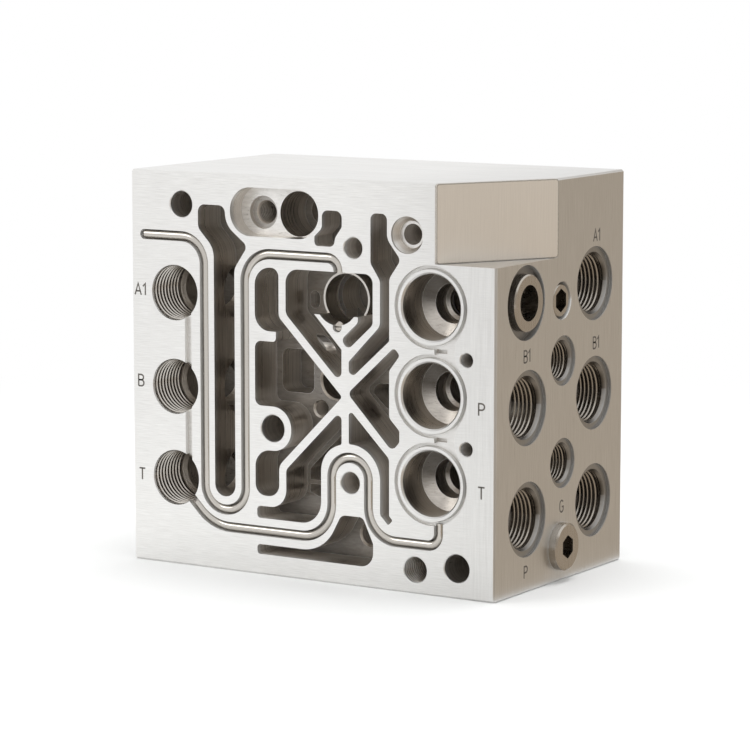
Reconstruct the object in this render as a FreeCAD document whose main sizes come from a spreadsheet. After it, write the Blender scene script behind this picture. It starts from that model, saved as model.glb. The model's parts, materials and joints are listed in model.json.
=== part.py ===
import FreeCAD, Part
import math
import os

import Sketcher

# Hydraulic manifold block: one machined aluminium body with milled galleries on its
# front face, ports on the front and right faces, two pilot tubes laid in grooves, a
# valve sleeve, a seat collar, plugs and a plate on the chamfered upper corner.
# Frame: origin at the middle of the base, X across the front, Y to the back, Z up.
# Front features are placed from the left edge and the base of the front face, and
# right-hand features from the front face and the base.

SIZES = {
    # Block
    "block_width": 165.0, "block_depth": 100.0, "block_height": 155.0,
    "edge_chamfer": 0.8, "overrun": 2.0, "corner_column": 138.7, "corner_reach": 46.1, "corner_row": 125.0,
    # Milled galleries: one floor level, one wall thickness between neighbours
    "floor_depth": 15.2, "deep_floor": 28.0, "drain_depth": 45.0, "rib": 3.2,
    "star_row": 72.3, "star_left": 98.0, "star_right": 100.4, "spine_column": 99.3,
    "slope_right": 0.92, "slope_arm": 1.03, "slope_heel": 0.9,
    "kite_depth": 13.9,
    # Long gallery on the left
    "slot_left": 39.2, "slot_right": 48.8, "slot_bottom": 29.1, "slot_head_left": 31.9,
    "slot_head_right": 44.6, "slot_head_top": 142.6, "slot_neck_row": 125.8,
    "slot_shoulder_row": 133.4, "slot_bay_row": 135.4, "slot_ear_column": 55.0,
    "slot_ear_row": 127.4, "slot_waist_row": 118.4,
    # Left window and its boss
    "window_left": 58.2, "window_right": 69.2, "window_top": 119.75, "window_bottom": 31.1,
    "shelf_top": 95.2, "shelf_bottom": 91.3, "shelf_end": 67.9,
    "boss_column": 66.2, "boss_row": 57.6, "boss_radius": 8.6,
    # Sleeve pocket, its web and the leaf pocket
    "sleeve_bay_right": 111.6, "web_top": 103.2, "web_left": 85.4, "leaf_left": 105.0,
    "leaf_bend_row": 101.0, "leaf_heel_row": 100.6, "leaf_tip_column": 100.6,
    "leaf_tip_row": 90.6, "leaf_end_column": 97.4, "leaf_end_row": 94.1,
    # Right-hand pockets
    "bay_right": 118.9, "arm_left": 110.6, "arm_right": 117.9, "arm_top": 142.8,
    "arm_waist_row": 133.4, "arm_ear_column": 123.9, "arm_ear_row": 125.8,
    "arm_neck_row": 118.6, "arm_shoulder_row": 123.9, "arm_root_row": 117.6,
    "arm_elbow_row": 100.4, "arm_heel_row": 95.0,
    "kite_upper_row": 83.9, "kite_lower_row": 66.0, "kite_end_column": 123.6,
    "kite_tip_row": 89.9, "kite_foot_column": 123.4, "kite_foot_top": 61.4,
    "kite_foot_row": 57.0, "kite_toe_column": 120.2,
    "leg_top": 68.3, "leg_knee_row": 50.4, "leg_ankle_row": 28.6, "leg_toe_row": 24.9,
    # Lower pockets
    "foot_left": 58.9, "foot_top": 27.0, "foot_bottom": 22.2, "foot_right": 88.4,
    "base_pocket_top": 11.9, "base_pocket_bottom": 8.0, "base_pocket_right": 111.8,
    "base_crown_row": 26.9, "base_crown_left": 97.5, "base_crown_right": 107.2,
    "base_side_row": 17.2, "base_bend_column": 89.5,
    # Small pocket near the top
    "bean_left": 89.0, "bean_right": 97.9, "bean_top": 142.9, "bean_bottom": 129.2,
    "bean_depth": 12.5, "bean_foot_left": 85.6, "bean_foot_right": 94.2,
    # Pilot tubes and their grooves
    "tube_diameter": 3.2, "tube_wall": 0.6, "groove_clearance": 0.4, "tube_depth": 2.1,
    "upper_start": 5.6, "upper_groove_end": 4.3, "upper_row": 129.7, "tube_column_one": 34.55,
    "tube_column_two": 53.55, "upper_turn_row": 33.4, "upper_bend": 10.5,
    "return_row": 124.9, "return_bend": 11.5, "entry_column": 96.2, "entry_bend": 5.0,
    "lower_row": 17.15, "lower_start_reach": 8.4, "lower_groove_reach": 10.2, "lower_sweep": 19.25,
    "lower_sweep_corner": 38.05, "arch_left": 93.2, "arch_right": 109.7,
    "arch_spring_row": 41.05, "arch_bend": 13.7, "runout_row": 19.0, "runout_bend": 11.9,
    "runout_column": 140.6, "runout_corner": 4.8, "runout_end_row": 27.6,
    # Front ports
    "port_column": 20.6, "port_row_one": 107.5, "port_row_two": 70.6, "port_row_three": 34.5,
    "port_thread_radius": 10.6, "port_mouth_radius": 10.9, "port_mouth_depth": 0.6,
    "port_thread_depth": 19.0, "port_drill_radius": 9.2, "port_depth": 30.7,
    "gallery_depth": 17.7, "gallery_radius": 10.9,
    "relief_left": 25.3, "relief_width": 3.1, "relief_depth": 2.0,
    # Cartridge cavities
    "cavity_column": 137.0, "cavity_row_one": 108.9, "cavity_pitch": 33.25,
    "cavity_face_radius": 15.8, "cavity_rim_radius": 14.2, "cavity_face_depth": 1.8,
    "cavity_radius": 12.5, "cavity_step_depth": 14.5, "cavity_cone_depth": 16.5,
    "cavity_inner_radius": 7.7, "cavity_inner_depth": 24.0, "cavity_pilot_radius": 6.3,
    "cavity_depth": 72.0, "cavity_rim_chamfer": 0.6,
    "link_column": 140.9, "link_width": 4.6, "link_height": 1.5, "link_depth": 3.2,
    "joint_left": 138.6, "joint_neck": 2.0, "joint_right": 149.9, "joint_height": 14.0,
    "joint_tip": 144.7, "joint_round": 11.0, "joint_row": 92.5,
    # Obround recess with a threaded seat and a blind bore
    "recess_left": 56.3, "recess_right": 78.0, "recess_row": 140.7, "recess_radius": 9.4,
    "recess_depth": 8.0, "seat_column": 57.2, "seat_row": 140.0, "seat_radius": 6.4, "seat_depth": 2.2,
    "seat_rim_radius": 4.6, "seat_thread_radius": 4.0, "seat_hole_depth": 24.0,
    "blind_column": 73.6, "blind_row": 140.1, "blind_radius": 8.75, "blind_depth": 25.3,
    "blind_inner_radius": 5.6, "blind_inner_depth": 33.0,
    # Plain holes of the front face: column, row and radius
    "dowel_column": 23.9, "dowel_row": 142.2, "dowel_radius": 5.1,
    "cross_column": 102.8, "cross_row": 129.2, "cross_radius": 4.0,
    "boss_hole_radius": 5.25,
    "arch_hole_row": 39.6, "arch_hole_radius": 4.15,
    "base_hole_column": 148.5, "base_hole_row": 11.4, "base_hole_radius": 5.35,
    "base_tap_column": 130.4, "base_tap_row": 9.1, "base_tap_radius": 4.9,
    "screw_column": 152.4, "screw_upper_row": 90.1, "screw_lower_row": 56.8,
    "screw_radius": 2.6, "hole_depth": 24.0, "screw_depth": 14.0, "hole_break": 0.35,
    "sink_column": 126.7, "sink_row": 135.3, "sink_radius": 7.05, "sink_lip": 1.0,
    "sink_throat_radius": 5.2, "sink_cone_depth": 3.4, "sink_hole_radius": 4.0,
    "sink_step_depth": 4.3,
    # Drillings in the pocket floors
    "main_drain_column": 86.0, "main_drain_row": 75.7, "main_drain_radius": 7.0,
    "side_drain_column": 78.7, "side_drain_row": 64.4, "side_drain_radius": 2.9,
    "well_left": 61.0, "well_right": 75.6, "well_bottom": 70.0, "well_top": 87.0,
    "well_corner": 3.0,
    "oval_column": 76.0, "oval_row": 106.7, "oval_width": 4.4, "oval_height": 6.8,
    "kite_well_left": 102.5, "kite_well_row": 73.3, "kite_well_top": 76.6,
    "kite_well_right": 112.5, "kite_well_bottom": 64.4,
    "base_drain_column": 101.3, "base_drain_row": 17.4, "base_drain_radius": 4.3,
    "crossover_row": 90.6, "crossover_depth": 10.6, "crossover_radius": 3.8,
    "crossover_start": 76.0, "crossover_end": 92.0,
    "trench_ledge": 1.2, "trench_depth": 32.0, "trench_bridge_bottom": 34.7,
    "trench_bridge_top": 36.4, "trench_right": 86.2,
    # Valve sleeve and its locking screw
    "sleeve_column": 95.6, "sleeve_row": 109.0, "sleeve_radius": 10.4, "sleeve_wall": 0.8,
    "sleeve_clearance": 0.1, "sleeve_foot_depth": 15.0,
    "sleeve_rim_depth": 7.0, "sleeve_seat_depth": 17.6,
    "sleeve_bore_radius": 8.8, "sleeve_bore_depth": 30.0, "sleeve_notch_width": 3.2,
    "sleeve_notch_depth": 2.8, "sleeve_slot_left": 88.5, "sleeve_slot_right": 103.5,
    "sleeve_slot_bottom": 99.8, "sleeve_slot_top": 103.2, "sleeve_slot_depth": 26.0,
    "lock_column": 95.8, "lock_row": 98.9, "lock_radius": 2.0, "lock_clearance": 0.05,
    "lock_top": 0.9, "lock_seat": 6.0, "lock_dome": 0.5, "lock_slot_width": 0.7,
    "lock_slot_depth": 0.9,
    # Right-hand face: distances from the front face and rows
    "side_column": 24.0, "middle_column": 51.4, "rear_column": 76.3,
    "side_port_row_one": 70.4, "side_port_row_two": 28.0,
    "rear_port_row_one": 112.5, "rear_port_row_two": 69.8, "rear_port_row_three": 27.6,
    "side_face_radius": 14.4, "side_face_depth": 1.2, "side_thread_radius": 11.3,
    "side_mouth_radius": 12.1, "side_mouth_depth": 2.6, "side_thread_depth": 13.5,
    "side_drill_radius": 7.2, "side_drill_depth": 27.0, "rear_drill_depth": 42.0,
    "low_drill_depth": 18.0,
    "small_row_one": 85.2, "small_row_two": 45.7, "small_face_radius": 9.7,
    "small_face_depth": 1.0, "small_mouth_radius": 7.9, "small_mouth_depth": 2.0,
    "small_thread_radius": 7.2, "small_thread_depth": 13.0, "small_drill_radius": 5.0,
    "small_depth": 30.0,
    # Seat collar
    "collar_column": 22.6, "collar_row": 110.1, "collar_face_radius": 14.2,
    "collar_face_depth": 2.8, "collar_radius": 10.8, "collar_bore_radius": 6.85,
    "collar_stand": 1.25, "collar_spigot_radius": 9.0, "collar_spigot_depth": 10.0,
    "collar_clearance": 0.05, "collar_chamfer": 0.5, "collar_drill_depth": 27.0,
    # Socket plug
    "plug_column": 50.2, "plug_row": 108.3, "plug_radius": 6.4, "plug_clearance": 0.1,
    "plug_sink_radius": 7.35, "plug_sink_depth": 1.6, "plug_face_depth": 0.5,
    "plug_seat_depth": 11.0, "plug_chamfer": 0.5, "plug_hex": 8.0, "plug_hex_depth": 5.0,
    # Gauge plug
    "gauge_column": 49.9, "gauge_row": 13.7, "gauge_head_radius": 9.15,
    "gauge_head_height": 3.5, "gauge_head_chamfer": 0.6, "gauge_stem_radius": 6.5,
    "gauge_stem_length": 10.0, "gauge_clearance": 0.1, "gauge_hex": 8.0,
    "gauge_hex_depth": 5.0,
    # Plate on the chamfered corner
    "plate_thickness": 1.0, "plate_margin": 0.2, "plate_corner": 1.2,
}

FULL_TURN = 360.0
HALF_EIGHTH = math.tan(math.radians(22.5))
ROUND_SHARE = 0.98


class Dim:
    """A length that carries its number and the sheet formula that it follows."""

    def __init__(self, number, formula):
        self.number = number
        self.formula = formula

    @staticmethod
    def of(value):
        if isinstance(value, Dim):
            return value
        return Dim(float(value), repr(float(value)))

    def __add__(self, other):
        other = Dim.of(other)
        return Dim(self.number + other.number, f"({self.formula} + {other.formula})")

    def __sub__(self, other):
        other = Dim.of(other)
        return Dim(self.number - other.number, f"({self.formula} - {other.formula})")

    def __mul__(self, other):
        other = Dim.of(other)
        return Dim(self.number * other.number, f"({self.formula} * {other.formula})")

    def __truediv__(self, other):
        other = Dim.of(other)
        return Dim(self.number / other.number, f"({self.formula} / {other.formula})")

    def __neg__(self):
        return Dim(-self.number, f"(0 - {self.formula})")


class Sheet:
    """The document's spreadsheet, whose aliases read back as Dim values."""

    def __init__(self, doc, sizes):
        self.object = doc.addObject("Spreadsheet::Sheet", "sizes")
        for row, (alias, number) in enumerate(sizes.items(), start=1):
            self.object.set(f"A{row}", alias)
            self.object.set(f"B{row}", str(number))
            self.object.setAlias(f"B{row}", alias)
        doc.recompute()

    def __getattr__(self, alias):
        return Dim(float(self.object.get(alias)), f"sizes.{alias}")


doc = FreeCAD.newDocument("manifold_block")
s = Sheet(doc, SIZES)
ZERO = Dim.of(0)
cutters = []


def new_body(name):
    body = doc.addObject("PartDesign::Body", name)
    body.Label = name
    return body


def origin_plane(body, role):
    return next(item for item in body.Origin.OriginFeatures if item.Role == role)


def attach(sketch, body, role, base, turn=0.0):
    """Lay a sketch on an origin plane, moved by base in the plane's own axes."""
    sketch.AttachmentSupport = [(origin_plane(body, role), "")]
    sketch.MapMode = "FlatFace"
    numbers = [Dim.of(value).number for value in base]
    axis = FreeCAD.Vector(0, 0, 1)
    sketch.AttachmentOffset = FreeCAD.Placement(
        FreeCAD.Vector(*numbers), FreeCAD.Rotation(axis, turn))
    for letter, value in zip("xyz", base):
        sketch.setExpression(f".AttachmentOffset.Base.{letter}", Dim.of(value).formula)


def front_sketch(body, name, depth=ZERO):
    """Sketch on the front face: x from the left edge, y from the base."""
    sketch = body.newObject("Sketcher::SketchObject", name)
    attach(sketch, body, "XZ_Plane", (-s.block_width / 2, ZERO, s.block_depth / 2 - depth))
    return sketch


def side_sketch(body, name, depth=ZERO):
    """Sketch on the right face: x from the front face, y from the base."""
    sketch = body.newObject("Sketcher::SketchObject", name)
    attach(sketch, body, "YZ_Plane", (-s.block_depth / 2, ZERO, s.block_width / 2 - depth))
    return sketch


def top_sketch(body, name):
    """Sketch on the top face: x from the left edge, y from the front face."""
    sketch = body.newObject("Sketcher::SketchObject", name)
    attach(sketch, body, "XY_Plane", (-s.block_width / 2, -s.block_depth / 2, s.block_height))
    return sketch


def bind(sketch, index, value):
    sketch.setExpression(f"Constraints[{index}]", value.formula)


def pin_point(sketch, geometry, position, x, y):
    """Fix a point of the sketch at x, y, both bound to the sheet."""
    for kind, value in (("DistanceX", x), ("DistanceY", y)):
        index = sketch.addConstraint(
            Sketcher.Constraint(kind, -1, 1, geometry, position, value.number))
        bind(sketch, index, value)


def closed_lines(sketch, points):
    """Draw a closed outline of straight lines through points."""
    points = [(Dim.of(x), Dim.of(y)) for x, y in points]
    vectors = [FreeCAD.Vector(x.number, y.number, 0) for x, y in points]
    count = len(vectors)
    for i in range(count):
        sketch.addGeometry(Part.LineSegment(vectors[i], vectors[(i + 1) % count]), False)
    for i in range(count):
        sketch.addConstraint(Sketcher.Constraint("Coincident", i, 2, (i + 1) % count, 1))
    for i, (x, y) in enumerate(points):
        pin_point(sketch, i, 1, x, y)


def circle(sketch, x, y, radius):
    x, y, radius = Dim.of(x), Dim.of(y), Dim.of(radius)
    centre = FreeCAD.Vector(x.number, y.number, 0)
    index = sketch.addGeometry(
        Part.Circle(centre, FreeCAD.Vector(0, 0, 1), radius.number), False)
    pin_point(sketch, index, 3, x, y)
    constraint = sketch.addConstraint(Sketcher.Constraint("Radius", index, radius.number))
    bind(sketch, constraint, radius)


def corner_arc(before, corner, after, radius):
    """Work out the arc that rounds a corner: entry, exit, centre and left turn or not."""
    way_in = (corner - before).normalize()
    way_out = (after - corner).normalize()
    cross = way_in.x * way_out.y - way_in.y * way_out.x
    turn = math.atan2(cross, way_in.dot(way_out))
    reach = radius * abs(math.tan(turn / 2))
    entry = corner - way_in * reach
    leave = corner + way_out * reach
    side = 1.0 if turn > 0 else -1.0
    centre = entry + FreeCAD.Vector(-way_in.y, way_in.x, 0) * (radius * side)
    return entry, leave, centre, turn > 0


def add_arc(sketch, entry, leave, centre, radius, left):
    begin, end = (entry, leave) if left else (leave, entry)
    start = math.atan2(begin.y - centre.y, begin.x - centre.x)
    stop = math.atan2(end.y - centre.y, end.x - centre.x)
    ring = Part.Circle(centre, FreeCAD.Vector(0, 0, 1), radius)
    return sketch.addGeometry(Part.ArcOfCircle(ring, start, stop), False)


def rounded_lines(sketch, corners, closed=True):
    """Draw lines through corners (x, y, radius), each corner rounded by a tangent arc.

    Every corner is a construction point bound to the sheet. The lines pass through
    their two corners, and the arcs are tangent to the lines, so the sketch follows.
    """
    corners = [(Dim.of(x), Dim.of(y), Dim.of(r)) for x, y, r in corners]
    spots = [FreeCAD.Vector(x.number, y.number, 0) for x, y, r in corners]
    count = len(corners)
    arcs = {}
    for i, (x, y, radius) in enumerate(corners):
        open_end = not closed and i in (0, count - 1)
        if radius.number > 0 and not open_end:
            arcs[i] = corner_arc(spots[i - 1], spots[i], spots[(i + 1) % count], radius.number)
    points = [sketch.addGeometry(Part.Point(spot), True) for spot in spots]
    for i, (x, y, radius) in enumerate(corners):
        pin_point(sketch, points[i], 1, x, y)
    arc_ids = {}
    for i, (entry, leave, centre, left) in arcs.items():
        arc_ids[i] = add_arc(sketch, entry, leave, centre, corners[i][2].number, left)
    last = count if closed else count - 1
    rules = []
    for i in range(last):
        j = (i + 1) % count
        start = arcs[i][1] if i in arcs else spots[i]
        stop = arcs[j][0] if j in arcs else spots[j]
        line = sketch.addGeometry(Part.LineSegment(start, stop), False)
        if i in arcs:
            rules.append(("PointOnObject", points[i], 1, line))
            rules.append(("Tangent", line, 1, arc_ids[i], 2 if arcs[i][3] else 1))
        else:
            rules.append(("Coincident", line, 1, points[i], 1))
        if j in arcs:
            rules.append(("PointOnObject", points[j], 1, line))
            rules.append(("Tangent", line, 2, arc_ids[j], 1 if arcs[j][3] else 2))
        else:
            rules.append(("Coincident", line, 2, points[j], 1))
    sketch.addConstraint([Sketcher.Constraint(*rule) for rule in rules])
    for i, arc in arc_ids.items():
        radius = corners[i][2]
        index = sketch.addConstraint(Sketcher.Constraint("Radius", arc, radius.number))
        bind(sketch, index, radius)


def pocket(body, sketch, length, name=None):
    """Cut a sketch into the body, away from the face that it lies on."""
    feature = body.newObject("PartDesign::Pocket", name or f"{sketch.Name}_cut")
    feature.Profile = sketch
    feature.Type = 0
    feature.Length = Dim.of(length).number
    feature.setExpression("Length", Dim.of(length).formula)
    return feature


def pad(body, sketch, length):
    feature = body.newObject("PartDesign::Pad", f"{sketch.Name}_pad")
    feature.Profile = sketch
    feature.Length = Dim.of(length).number
    feature.setExpression("Length", Dim.of(length).formula)
    return feature


def turned_sketch(body, name, face, column, row, profile):
    """Half section of a turned shape: x is the radius, y the depth below the face."""
    sketch = body.newObject("Sketcher::SketchObject", name)
    if face == "front":
        base = (column - s.block_width / 2, -s.block_depth / 2, row)
        attach(sketch, body, "XY_Plane", base)
    else:
        base = (s.block_width / 2, column - s.block_depth / 2, row)
        attach(sketch, body, "XY_Plane", base, 90.0)
    closed_lines(sketch, profile)
    return sketch


def turned_solid(body, name, face, column, row, profile):
    sketch = turned_sketch(body, f"{name}_section", face, column, row, profile)
    feature = body.newObject("PartDesign::Revolution", name)
    feature.Profile = sketch
    feature.ReferenceAxis = (sketch, ["V_Axis"])
    feature.Angle = FULL_TURN
    return feature


def cutter(name):
    """A body that is later cut out of the block."""
    body = new_body(name)
    cutters.append(body)
    return body


def bore(name, face, column, row, profile):
    """Stepped bore from the face inwards; its half section lists radius and depth."""
    mouth = profile[0][0]
    turned_solid(cutter(name), f"{name}_turned", face, column, row, [
        (0, -s.overrun), (mouth, -s.overrun), *profile, (0, profile[-1][1])])


def plain_hole(name, column, row, radius, depth):
    """Drilled hole with a broken edge."""
    bore(name, "front", column, row, [
        (radius + s.hole_break, ZERO), (radius, s.hole_break), (radius, depth)])


def floor_drain(name, column, row, radius):
    """Hole with a chamfered mouth in the floor of a pocket."""
    lip = radius + s.hole_break * 2
    turned_solid(cutter(name), f"{name}_turned", "front", column, row, [
        (0, s.floor_depth), (lip, s.floor_depth), (radius, s.floor_depth + s.hole_break * 2),
        (radius, s.drain_depth), (0, s.drain_depth)])


def swept(body, name, spine, profile):
    feature = body.newObject("PartDesign::AdditivePipe", name)
    feature.Profile = profile
    feature.Spine = (spine, [])
    feature.Transition = "Right corner"
    return feature


def upper_route():
    """Corners of the upper pilot tube's centre line on the front face."""
    turn = (s.tube_column_two - s.tube_column_one) / 2
    foot = s.upper_turn_row - turn
    return [
        (s.upper_start, s.upper_row, 0),
        (s.tube_column_one, s.upper_row, s.upper_bend),
        (s.tube_column_one, foot, turn * ROUND_SHARE),
        (s.tube_column_two, foot, turn * ROUND_SHARE),
        (s.tube_column_two, s.return_row, s.return_bend),
        (s.entry_column, s.return_row, s.entry_bend),
        (s.entry_column, s.window_top - s.rib / 8, 0),
    ]


def lower_route(reach):
    """Corners of the lower pilot tube's centre line, from reach before its first bend."""
    arch = (s.arch_right - s.arch_left) / 2
    crown = s.arch_spring_row + arch
    return [
        (s.lower_sweep_corner - reach, s.lower_row + reach, 0),
        (s.lower_sweep_corner, s.lower_row, s.lower_sweep),
        (s.arch_left, s.lower_row, s.arch_bend),
        (s.arch_left, crown, arch * ROUND_SHARE),
        (s.arch_right, crown, arch * ROUND_SHARE),
        (s.arch_right, s.runout_row, s.runout_bend),
        (s.runout_column, s.runout_row, s.runout_corner),
        (s.runout_column, s.runout_end_row, 0),
    ]


def route_start(route):
    """First corner of a route and the direction of its first run, in degrees."""
    (x0, y0, _), (x1, y1, _) = route[0], route[1]
    x0, y0 = Dim.of(x0), Dim.of(y0)
    return x0, y0, math.degrees(math.atan2(Dim.of(y1).number - y0.number,
                                           Dim.of(x1).number - x0.number))


def cross_plane(body, name, x, row, heading):
    """Sketch across a run: local x is square to the run, local y is out of the face."""
    sketch = body.newObject("Sketcher::SketchObject", name)
    sketch.AttachmentSupport = [(origin_plane(body, "XZ_Plane"), "")]
    sketch.MapMode = "FlatFace"
    spin = FreeCAD.Rotation(FreeCAD.Vector(0, 0, 1), heading - 90.0)
    tip = FreeCAD.Rotation(FreeCAD.Vector(1, 0, 0), 90.0)
    base = (x - s.block_width / 2, row, s.block_depth / 2 - s.tube_depth)
    sketch.AttachmentOffset = FreeCAD.Placement(
        FreeCAD.Vector(*[value.number for value in base]), spin.multiply(tip))
    for letter, value in zip("xyz", base):
        sketch.setExpression(f".AttachmentOffset.Base.{letter}", value.formula)
    return sketch


def groove_section(sketch):
    """U-shaped section of a tube groove, open past the face."""
    radius = s.tube_diameter / 2 + s.groove_clearance
    mouth = s.tube_depth + s.groove_clearance
    half = radius.number
    left, right = FreeCAD.Vector(-half, 0, 0), FreeCAD.Vector(half, 0, 0)
    upper_left = FreeCAD.Vector(-half, mouth.number, 0)
    upper_right = FreeCAD.Vector(half, mouth.number, 0)
    ring = Part.Circle(FreeCAD.Vector(0, 0, 0), FreeCAD.Vector(0, 0, 1), half)
    sketch.addGeometry(Part.ArcOfCircle(ring, math.pi, 2 * math.pi), False)
    sketch.addGeometry(Part.LineSegment(right, upper_right), False)
    sketch.addGeometry(Part.LineSegment(upper_right, upper_left), False)
    sketch.addGeometry(Part.LineSegment(upper_left, left), False)
    sketch.addConstraint([
        Sketcher.Constraint("Coincident", 0, 2, 1, 1),
        Sketcher.Constraint("Coincident", 1, 2, 2, 1),
        Sketcher.Constraint("Coincident", 2, 2, 3, 1),
        Sketcher.Constraint("Coincident", 3, 2, 0, 1),
        Sketcher.Constraint("Coincident", 0, 3, -1, 1),
        Sketcher.Constraint("Horizontal", 0, 1, 0, 2),
        Sketcher.Constraint("Vertical", 1),
        Sketcher.Constraint("Horizontal", 2),
        Sketcher.Constraint("Vertical", 3)])
    bind(sketch, sketch.addConstraint(Sketcher.Constraint("Radius", 0, half)), radius)
    bind(sketch, sketch.addConstraint(
        Sketcher.Constraint("DistanceY", -1, 1, 1, 2, mouth.number)), mouth)


def tube_groove(name, route):
    """Round-bottomed groove that a pilot tube lies in."""
    body = cutter(name)
    spine = front_sketch(body, f"{name}_line", s.tube_depth)
    rounded_lines(spine, route, closed=False)
    section = cross_plane(body, f"{name}_section", *route_start(route))
    groove_section(section)
    doc.recompute()
    swept(body, f"{name}_sweep", spine, section)


def tube_solid(name, route):
    """A pilot tube along its route, as one open-ended tube."""
    body = new_body(name)
    spine = front_sketch(body, f"{name}_line", s.tube_depth)
    rounded_lines(spine, route, closed=False)
    section = cross_plane(body, f"{name}_section", *route_start(route))
    circle(section, ZERO, ZERO, s.tube_diameter / 2)
    circle(section, ZERO, ZERO, s.tube_diameter / 2 - s.tube_wall)
    doc.recompute()
    swept(body, f"{name}_sweep", spine, section)
    return body


def gallery_outline():
    slot_round = (s.slot_right - s.slot_left) / 2 * ROUND_SHARE
    return [
        (s.slot_head_left, s.slot_head_top, 3.0),
        (s.slot_head_right, s.slot_head_top, 3.0),
        (s.slot_head_right, s.slot_bay_row, 9.0),
        (s.slot_ear_column, s.slot_ear_row, 2.4),
        (s.slot_right, s.slot_waist_row, 6.0),
        (s.slot_right, s.slot_bottom, slot_round),
        (s.slot_left, s.slot_bottom, slot_round),
        (s.slot_left, s.slot_neck_row, 9.0),
        (s.slot_head_left, s.slot_shoulder_row, 4.0),
    ]


def window_outline():
    """Left window: three bays round a boss, pointed at the star on its right."""
    point = s.star_left - s.window_right
    boss_round = s.boss_radius * ROUND_SHARE
    boss_side = s.boss_column + s.boss_radius
    boss_top = s.boss_row + s.boss_radius
    boss_bottom = s.boss_row - s.boss_radius
    return [
        (s.window_left, s.window_top, 7.0),
        (s.window_right, s.window_top, 3.4),
        (s.window_right, s.star_row + point, 3.5),
        (s.star_left, s.star_row, 1.2),
        (s.window_right, s.star_row - point, 5.0),
        (s.window_right, s.window_bottom, 4.9),
        (s.window_left, s.window_bottom, 4.6),
        (s.window_left, boss_bottom, 6.6),
        (boss_side, boss_bottom, boss_round),
        (boss_side, boss_top, boss_round),
        (s.window_left, boss_top, 2.8),
        (s.window_left, s.shelf_bottom, 2.8),
        (s.shelf_end, s.shelf_bottom, 1.5),
        (s.shelf_end, s.shelf_top, 0),
        (s.window_left, s.shelf_top, 6.8),
    ]


def sleeve_outline():
    """Sleeve pocket with its diagonal channel on the left and the leaf on the right."""
    left = s.window_right + s.rib
    spine_left = s.spine_column - s.rib / 2
    shoulder = s.star_row + (s.star_left - s.window_right) + s.rib * HALF_EIGHTH
    return [
        (left, s.window_top, 5.5),
        (s.sleeve_bay_right, s.window_top, 3.6),
        (s.sleeve_bay_right, s.leaf_heel_row, 3.0),
        (s.leaf_tip_column, s.leaf_tip_row, 2.2),
        (s.leaf_end_column, s.leaf_end_row, 2.2),
        (s.leaf_left, s.leaf_bend_row, 2.6),
        (s.leaf_left, s.web_top, 0),
        (s.web_left, s.web_top, 0),
        (spine_left, s.web_top - (spine_left - s.web_left) * 1.04, 0.8),
        (spine_left, shoulder - (spine_left - left), 1.9),
        (left, shoulder, 4.0),
    ]


def arm_outline():
    """Tall pocket right of the sleeve pocket, bent down to the star."""
    elbow = s.sleeve_bay_right + s.rib
    spine_right = s.spine_column + s.rib / 2
    heel = s.arm_heel_row - (s.bay_right - spine_right) * s.slope_heel
    return [
        (s.arm_left, s.arm_top, 2.5),
        (s.arm_right, s.arm_top, 2.5),
        (s.arm_right, s.arm_waist_row, 6.0),
        (s.arm_ear_column, s.arm_ear_row, 2.4),
        (s.bay_right, s.arm_neck_row, 4.0),
        (s.bay_right, s.arm_heel_row, 1.0),
        (spine_right, heel, 1.9),
        (spine_right, s.arm_elbow_row - (elbow - spine_right) * s.slope_arm, 1.6),
        (elbow, s.arm_elbow_row, 4.0),
        (elbow, s.arm_root_row, 4.0),
        (s.arm_left, s.arm_shoulder_row, 3.0),
    ]


def kite_outline():
    """Pocket between the two right-hand spokes of the star."""
    reach = s.kite_toe_column + s.rib / 4 - s.star_right
    return [
        (s.star_right, s.star_row + s.rib / 2, 2.2),
        (s.star_right + reach, s.star_row + s.rib / 2 + reach * s.slope_right, 1.5),
        (s.kite_end_column, s.kite_tip_row, 1.5),
        (s.bay_right, s.kite_upper_row, 2.5),
        (s.bay_right, s.kite_lower_row, 3.0),
        (s.kite_foot_column, s.kite_foot_top, 1.5),
        (s.kite_foot_column, s.kite_foot_row, 1.5),
        (s.kite_toe_column, s.star_row - reach * s.slope_right, 2.4),
    ]


def leg_outline():
    """Pocket that runs down beside the arch of the lower tube."""
    spine_right = s.spine_column + s.rib / 2
    arch = (s.arch_right - s.arch_left) / 2
    shield = arch + s.tube_diameter / 2 + s.groove_clearance + s.rib
    crown = s.arch_spring_row + shield
    left = (s.arch_left + s.arch_right) / 2 + shield
    return [
        (spine_right, s.leg_top, 1.2),
        (s.bay_right, s.leg_knee_row, 3.0),
        (s.bay_right, s.leg_ankle_row, 1.0),
        (s.bay_right + s.rib / 2, s.leg_ankle_row - s.rib / 2, 0.8),
        (s.bay_right - s.rib / 8, s.leg_toe_row, 0.8),
        (left, s.leg_ankle_row, 1.5),
        (left, crown, shield * ROUND_SHARE),
        (spine_right, crown, 0.8),
    ]


def foot_outline():
    """Pocket left of the arch, with a long toe to the left."""
    left = s.window_right + s.rib
    spine_left = s.spine_column - s.rib / 2
    knee = s.star_row - (s.star_left - s.window_right) - s.rib * HALF_EIGHTH
    crown = s.arch_spring_row + (s.arch_right - s.arch_left) / 2
    shield = s.tube_diameter / 2 + s.groove_clearance + s.rib
    return [
        (spine_left, knee + (spine_left - left), 1.7),
        (spine_left, crown + shield - s.rib / 8, 1.0),
        (s.foot_right, crown + s.rib / 2, 11.0),
        (s.foot_right, s.foot_bottom, 9.0),
        (s.foot_left, s.foot_bottom, 1.6),
        (s.foot_left, s.foot_top, 1.6),
        (left, s.foot_top, 7.2),
        (left, knee, 3.0),
    ]


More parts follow.
